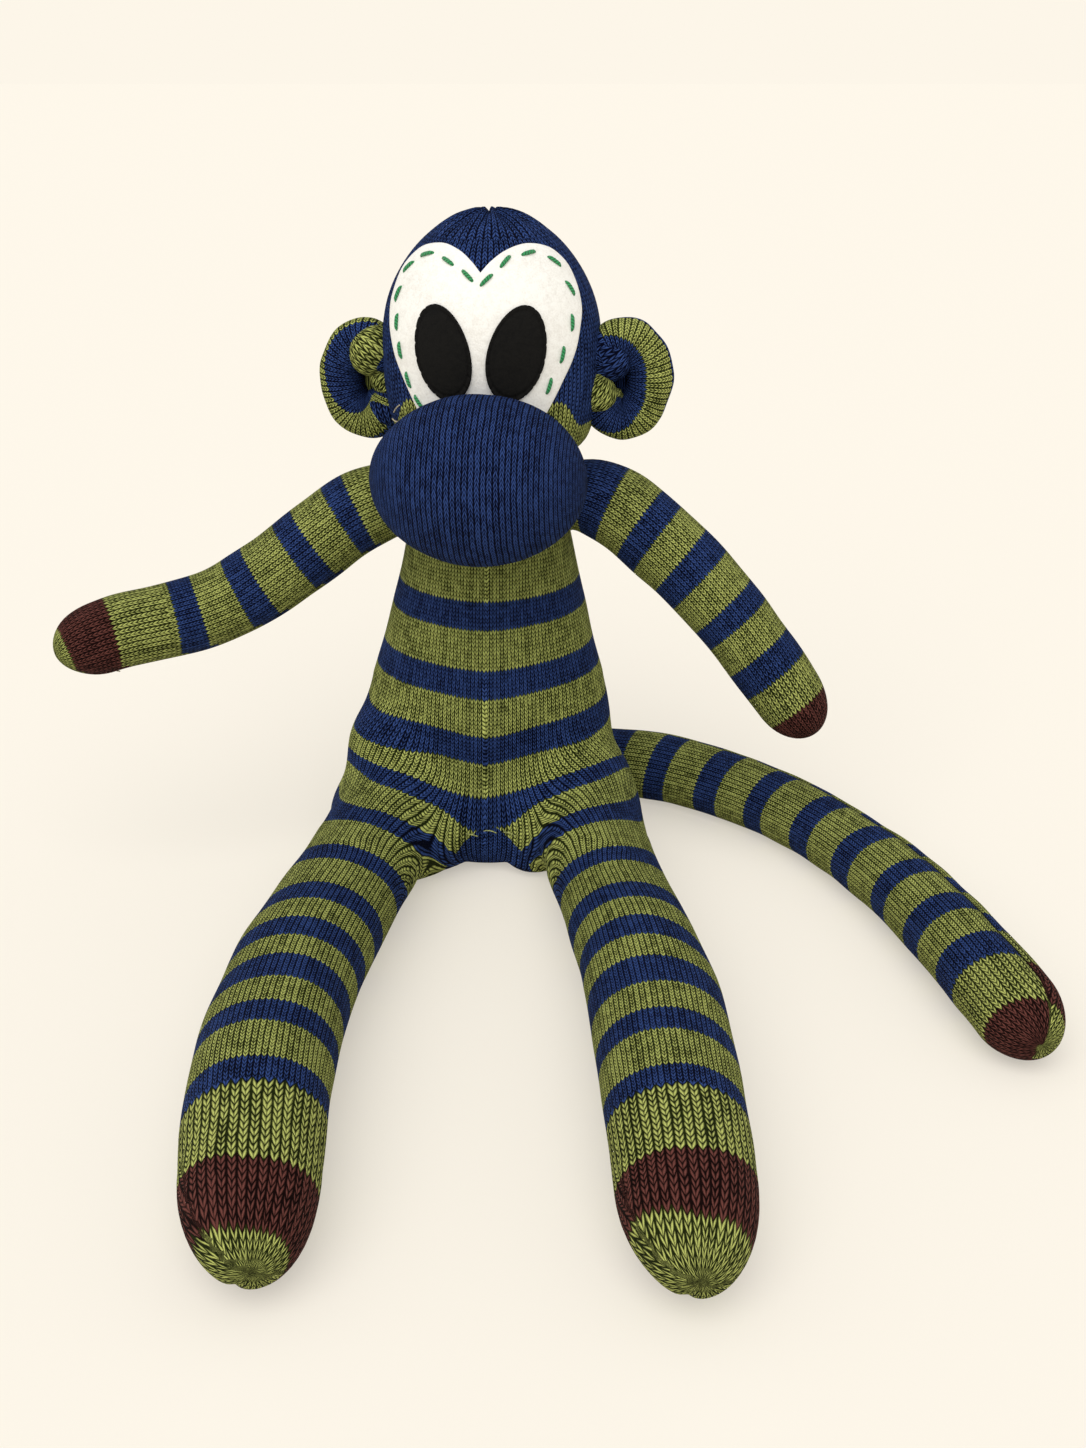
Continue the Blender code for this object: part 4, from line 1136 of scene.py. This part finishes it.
def make_muzzle(context):
    """Make the round knitted muzzle on the front of the head"""
    sizes = context.scene.doll_head
    placed = head_frame(sizes)
    ahead = sizes.half_width * sizes.depth_share + sizes.muzzle_ahead
    centre = Vector((0.001, -ahead, -sizes.muzzle_drop))
    bm = new_cloth()
    bmesh.ops.create_uvsphere(bm, u_segments=144, v_segments=96, radius=1.0)
    stretch = Matrix.Diagonal((sizes.muzzle_half_width, sizes.muzzle_half_depth,
                               sizes.muzzle_half_height, 1.0))
    around, along = bm.verts.layers.float["around"], bm.verts.layers.float["along"]
    for vert in bm.verts:
        x, y, z = vert.co
        vert[around] = 0.5 + math.asin(max(min(x, 1.0), -1.0)) / math.pi
        vert[along] = math.atan2(z, -y) * sizes.muzzle_half_height + 0.1
        swell = noise.noise(vert.co * 1.4)
        vert.co = placed @ (Matrix.Translation(centre) @ stretch @ (vert.co * (1 + 0.02 * swell)))
    back = [face for face in bm.faces
            if (placed.inverted() @ face.calc_center_median()).y > -ahead * 0.45]
    bmesh.ops.delete(bm, geom=back, context="FACES")
    knitting = Knitting(MUZZLE_GAUGES, MUZZLE_STRIPES)
    lay_knit(bm, lambda share, row: (share, knitting.course(row)))
    finish = knit("navy knit of the muzzle", knitting, context.scene.doll_cloth, lean=1.5,
                  drift=0.45)
    piece = make_piece(bm, "knit_muzzle", finish)
    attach(piece, "head")
    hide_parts("muzzle_skin", "muzzle_stuffing")


def make_ears(context):
    """Make the two ears, each a stuffed strip curled into a ring"""
    sizes, cloth = context.scene.doll_head, context.scene.doll_cloth
    placed = head_frame(sizes)
    plans = ((LEFT, "ear_left", LEFT_EAR_STRIPES, LEFT_EAR_SHIFTS, LEFT_EAR_LOBES),
             (RIGHT, "ear_right", RIGHT_EAR_STRIPES, RIGHT_EAR_SHIFTS, RIGHT_EAR_LOBES))
    for side, name, stripes, shifts, lobes in plans:
        aside = sizes.half_width + sizes.ear_clear - (0.0028 if side == RIGHT else 0.0012)
        drop = sizes.ear_drop - (0.0012 if side == LEFT else -0.0006)
        middle = Vector((side * aside, sizes.ear_back - 0.004, -drop))
        bm = new_cloth()
        around, along = bm.verts.layers.float["around"], bm.verts.layers.float["along"]
        outlines, alongs, arounds = [], [], []
        for step in range(EAR_STEPS + 1):
            degrees = EAR_TURN * (2 * step / EAR_STEPS - 1)
            angle = math.radians(degrees)
            ends = min(step, EAR_STEPS - step) / 7
            half = sizes.ear_tube * 1.07 * math.sqrt(max(1 - max(1 - ends, 0.0) ** 2, 0.02))
            reach = sizes.ear_half_reach + 0.0008
            inward = 0.5 - 0.5 * math.cos(angle)

            def spot(turn):
                return middle + Vector((side * reach * math.cos(turn), -0.004 * inward,
                                        sizes.ear_half_height * math.sin(turn)))

            course = (spot(angle + 0.02) - spot(angle - 0.02)).normalized()
            outline = ring(placed @ station(spot(angle), course, BACKWARD), half, half,
                           EAR_SIDES, -math.pi / 2)
            lumps(outline, 0.0008, 0.01, 20.0 * side)
            outlines.append(outline)
            alongs.append(step / EAR_STEPS)
            shift = float(np.interp(degrees, *zip(*shifts)))
            arounds.append([number / EAR_SIDES + shift * math.sin(math.pi * number / EAR_SIDES)
                            for number in range(EAR_SIDES)])
        closed(bm, outlines, alongs, middle_of(outlines[0]), middle_of(outlines[-1]), arounds)
        pit = ((0.0, -0.004, 0.0), (0.0075, 0.0045, 0.0125), 0, (0.36, 0.38))
        for (out, ahead, up), halves, lean, (low, high) in (pit, *lobes):
            spin = Matrix.Rotation(math.radians(lean) * side, 4, "Y")
            shape = Matrix.Translation(middle + Vector((side * out, -ahead, up)))
            shape = placed @ shape @ spin @ Matrix.Diagonal((*halves, 1.0))
            made = bmesh.ops.create_uvsphere(bm, u_segments=48, v_segments=32, radius=1.0)
            for vert in made["verts"]:
                x, y, z = vert.co
                vert[around] = low + (high - low) * math.acos(max(min(z, 1.0), -1.0)) / math.pi
                vert[along] = 0.5 + math.atan2(x, -y) / (2 * math.pi) * 0.5
                vert.co = shape @ vert.co
        face_out(bm)
        knitting = Knitting(EAR_GAUGES, stripes)
        lay_knit(bm, lambda share, row: (row, knitting.course(share)))
        piece = make_piece(bm, "knit_" + name,
                           knit("striped knit of " + name, knitting, cloth))
        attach(piece, name)
        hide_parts(name + "_skin", name + "_stuffing")


# ---------------------------------------------------------------- face

def patch_outline(sizes):
    """Outline of the face patch seen from the front."""
    half = [(sizes.half_width * across, sizes.crown * rise) for across, rise in PATCH_SHARES]
    rows = [(number / (len(half) - 1), x, z) for number, (x, z) in enumerate(half)]
    right_half = [tuple(eased(rows, number / 60)) for number in range(61)]
    return right_half + [(-x, z) for x, z in reversed(right_half[1:-1])]


def eye_outline(sizes, side):
    """Outline of an eye: an egg that leans in at its foot."""
    points = []
    lean = sizes.eye_lean * side
    for number in range(240):
        angle = 2 * math.pi * number / 240
        across = sizes.eye_half_width * math.cos(angle) * (1 - 0.05 * math.sin(angle))
        up = sizes.eye_half_height * math.sin(angle)
        points.append((side * sizes.eye_spread + across * math.cos(lean) + up * math.sin(lean),
                       sizes.eye_rise + up * math.cos(lean) - across * math.sin(lean)))
    return points


def flat_size(outline):
    """Width and length that a felt piece is cut from."""
    across, up = zip(*outline)
    return max(across) - min(across), max(up) - min(up)


def flat_area(outline):
    """Area inside an outline."""
    pairs = zip(outline, outline[1:] + outline[:1])
    return abs(sum(a[0] * b[1] - b[0] * a[1] for a, b in pairs)) / 2


def felt_piece(name, sizes, outline, centre, level, thickness, finish, whips=0):
    """A felt sheet on the front of the head, with a soft cut edge that stitches may draw in."""
    placed = head_frame(sizes)
    rounds = [(0.02, 1.0)] + [(step / 14, 1.0) for step in range(1, 12)]
    rounds += [(0.8, 1.0), (0.84, 0.97), (0.865, 0.7), (0.885, 0.62), (0.905, 0.74),
               (0.93, 0.98), (0.955, 1.0)] if whips else [(0.86, 1.0), (0.93, 1.0)]
    rounds += [(0.975, 1.0), (0.992, 0.86), (1.0, 0.55), (1.0, -0.9)]
    bm = new_cloth()
    outlines = []
    for share, rise in rounds:
        points = []
        for number, (x, z) in enumerate(outline):
            wave = noise.noise(Vector((x, z, 0.0)) * 140)
            drawn = max(math.cos(2 * math.pi * whips * number / len(outline)), 0.0) ** 6
            edge = float(smooth(0.84, 0.93, share)) if whips else float(smooth(0.75, 1.0, share))
            lift = rise - (0.42 * drawn * edge if whips else 0) + 0.16 * wave * edge * (rise > 0)
            across, up = centre[0] + (x - centre[0]) * share, centre[1] + (z - centre[1]) * share
            turn = front_turn(sizes, across, up)
            points.append(placed @ on_head(sizes, turn, up, level + thickness * lift)[0])
        outlines.append(points)
    first, last = loft(bm, outlines, [share for share, lift in rounds])
    cap(bm, first, middle_of(outlines[0]), 0.0)
    face_out(bm)
    return make_piece(bm, name, finish)


def make_face(context):
    """Make the white felt patch and the two black felt eyes"""
    sizes, cloth = context.scene.doll_head, context.scene.doll_cloth
    thickness = cloth.felt_thickness
    white = felt("white felt", cloth.white_felt, (0.72, 0.69, 0.63), 0.00026)
    black = felt("black felt", cloth.black_felt, (0.0035, 0.0035, 0.0035), 0.0004)
    patch = felt_piece("felt_patch", sizes, patch_outline(sizes), (0.0, 0.006), PATCH_LEVEL,
                       thickness, white)
    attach(patch, "head")
    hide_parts("face_patch")
    flat_size(patch_outline(sizes))
    flat_area(patch_outline(sizes))
    for side, name in ((LEFT, "eye_left"), (RIGHT, "eye_right")):
        centre = (side * sizes.eye_spread, sizes.eye_rise)
        eye = felt_piece("felt_" + name, sizes, eye_outline(sizes, side), centre,
                         PATCH_LEVEL + thickness, thickness, black, whips=20)
        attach(eye, "head")
        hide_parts(name)
        flat_size(eye_outline(sizes, side))
        flat_area(eye_outline(sizes, side))


def make_stitches(context):
    """Make the running stitches of green thread round the patch"""
    sizes, cloth = context.scene.doll_head, context.scene.doll_cloth
    placed = head_frame(sizes)
    level = PATCH_LEVEL + cloth.felt_thickness
    bm = new_cloth()
    for across, rise, slant in STITCH_SHARES:
        height = sizes.crown * rise
        turn = front_turn(sizes, sizes.half_width * across, height)
        centre, outward = on_head(sizes, turn, height, level)
        sideways = UP.cross(outward).normalized()
        course = Matrix.Rotation(math.radians(slant), 3, outward) @ sideways
        outlines, alongs = [], []
        for step in range(STITCH_STEPS + 1):
            part = 2 * step / STITCH_STEPS - 1
            fat = (1 - abs(part) ** 3.0) ** 0.5 if abs(part) < 1 else 0.0
            half = sizes.thread_radius * max(fat, 0.12)
            dive = sizes.thread_radius * (0.75 - 1.6 * abs(part) ** 4)
            spot = centre + course * (sizes.stitch_length / 2 * part) + outward * dive
            outlines.append(ring(placed @ station(spot, course, outward), half * 1.25, half,
                                 STITCH_SIDES))
            alongs.append(part)
        closed(bm, outlines, alongs, middle_of(outlines[0]), middle_of(outlines[-1]))
    face_out(bm)
    lay_knit(bm)
    finish = thread("green embroidery thread", cloth.stitch_green, (0.006, 0.085, 0.022), 3.0)
    piece = make_piece(bm, "patch_stitches", finish)
    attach(piece, "head")
    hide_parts(*["face_stitch_%02d" % (number + 1)
                         for number in range(len(STITCH_SHARES))])


def make_threads(context):
    """Make the loose ends and loops of thread at the seams"""
    cloth = context.scene.doll_cloth
    finishes = {"pale": thread("pale sewing thread", cloth.plain_thread, (0.3, 0.24, 0.14), 4.0),
                "green": thread("green yarn ends", cloth.green, (0.1, 0.12, 0.03), 4.0)}
    for number, (body, colour, start, bend, end) in enumerate(LOOSE_THREADS):
        start, bend, end = Vector(start), Vector(bend), Vector(end)
        bm = new_cloth()
        outlines = []
        parts = [step / THREAD_STEPS for step in range(THREAD_STEPS + 1)]
        for part in parts:
            spot = (start.lerp(bend, part)).lerp(bend.lerp(end, part), part)
            course = (bend - start).lerp(end - bend, part).normalized()
            outlines.append(ring(station(spot, course, UP), LOOSE_THREAD_RADIUS,
                                 LOOSE_THREAD_RADIUS, THREAD_SIDES))
        closed(bm, outlines, parts, start, end)
        face_out(bm)
        lay_knit(bm)
        piece = make_piece(bm, "loose_thread_%d" % (number + 1), finishes[colour])
        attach(piece, body)


def make_neck(context):
    """Give the thread that gathers the neck its finish"""
    cloth = context.scene.doll_cloth
    finish = Finish("sewing thread", {"Roughness": 0.7})
    fine = finish.noise(finish.place(), 2200.0, 2.0)
    made = finish.surface(finish.mix(fine, (0.05, 0.06, 0.02), (0.14, 0.15, 0.05)),
                          fine, 0.0002)
    node = frame["nodes"]["neck_gather_thread"]
    node.data.materials.clear()
    node.data.materials.append(made)


# ---------------------------------------------------------------- stage

def make_stage(context):
    """Make the pale floor, the soft light and the camera"""
    stage, scene = context.scene.doll_stage, context.scene
    bm = bmesh.new()
    bmesh.ops.create_grid(bm, x_segments=1, y_segments=1, size=14.0)
    mesh = bpy.data.meshes.new("floor")
    bm.to_mesh(mesh)
    bm.free()
    floor = add_object("floor", mesh)
    finish = Finish("pale floor", {"Roughness": 1.0, "Specular IOR Level": 0.0})
    finish.shader.inputs["Base Color"].default_value = (*stage.floor, 1.0)
    seen = finish.node("ShaderNodeLightPath").outputs["Is Camera Ray"]
    glow = finish.node("ShaderNodeEmission", {}, {"Color": (*stage.backdrop, 1.0)})
    both = finish.node("ShaderNodeMixShader", {},
                       {"Fac": Measure(finish, seen) * stage.lift,
                        1: finish.shader.outputs[0], 2: glow.outputs[0]})
    finish.feed(finish.tree.nodes["Material Output"].inputs["Surface"], both.outputs[0])
    mesh.materials.append(finish.material)
    sun = bpy.data.lights.new("soft lamp", "SUN")
    sun.energy, sun.angle = stage.sun, stage.sun_spread
    lamp = add_object("soft lamp", sun)
    lamp.rotation_euler = (math.radians(40), math.radians(-10), 0.0)
    world = bpy.data.worlds.new("studio")
    world.use_nodes = True
    tree = world.node_tree
    lit = tree.nodes["Background"]
    lit.inputs["Color"].default_value = (1.0, 0.99, 0.97, 1.0)
    lit.inputs["Strength"].default_value = stage.fill
    seen = tree.nodes.new("ShaderNodeBackground")
    seen.inputs["Color"].default_value = (*stage.backdrop, 1.0)
    path = tree.nodes.new("ShaderNodeLightPath")
    mixed = tree.nodes.new("ShaderNodeMixShader")
    tree.links.new(path.outputs["Is Camera Ray"], mixed.inputs["Fac"])
    tree.links.new(lit.outputs[0], mixed.inputs[1])
    tree.links.new(seen.outputs[0], mixed.inputs[2])
    tree.links.new(mixed.outputs[0], tree.nodes["World Output"].inputs["Surface"])
    scene.world = world
    camera = add_object("camera", bpy.data.cameras.new("camera"))
    camera.location = stage.camera
    camera.rotation_euler = (math.pi / 2 - stage.pitch, 0.0, 0.0)
    camera.data.lens = stage.lens
    camera.data.clip_start = 0.01
    scene.camera = camera
    scene.view_settings.view_transform = "Standard"


def operator(maker):
    """An operator that runs a maker and is named after it."""
    def execute(self, context):
        maker(context)
        return {"FINISHED"}

    name = maker.__name__.removeprefix("make_")
    return type("DOLL_OT_" + name, (Operator,), {
        "__doc__": maker.__doc__, "bl_idname": "doll." + name, "bl_label": name.capitalize(),
        "execute": execute})


class DOLL_PT_panel(Panel):
    """Lists the doll's pieces and its sizes"""
    bl_label = "Doll"
    bl_idname = "DOLL_PT_panel"
    bl_space_type = "VIEW_3D"
    bl_region_type = "UI"
    bl_category = "Doll"

    def draw(self, context):
        for made in OPERATORS:
            self.layout.operator(made.bl_idname)
        for name in GROUPS:
            box = self.layout.box()
            group = getattr(context.scene, name)
            box.label(text=name.replace("_", " ").capitalize())
            for prop in group.__annotations__:
                box.prop(group, prop, text=prop.replace("_", " ").capitalize())


OPERATORS = [operator(maker) for maker in (
    make_stage, make_body, make_arms, make_tail, make_head, make_muzzle, make_ears, make_face,
    make_stitches, make_threads, make_neck)]
GROUPS = {"doll_cloth": SockCloth, "doll_body": BodySizes, "doll_limbs": LimbSizes,
          "doll_head": HeadSizes, "doll_stage": StudioStage}


def register():
    for group in GROUPS.values():
        bpy.utils.register_class(group)
    for name, group in GROUPS.items():
        setattr(bpy.types.Scene, name, PointerProperty(type=group))
    for made in (*OPERATORS, DOLL_PT_panel):
        bpy.utils.register_class(made)


def unregister():
    for made in (DOLL_PT_panel, *OPERATORS):
        bpy.utils.unregister_class(made)
    for name, group in GROUPS.items():
        delattr(bpy.types.Scene, name)
        bpy.utils.unregister_class(group)


def main():
    """Make the whole doll, and write the size of the model and of what is shown."""
    register()
    for made in OPERATORS:
        kind, name = made.bl_idname.split(".")
        getattr(getattr(bpy.ops, kind), name)()


if __name__ == "__main__":
    main()
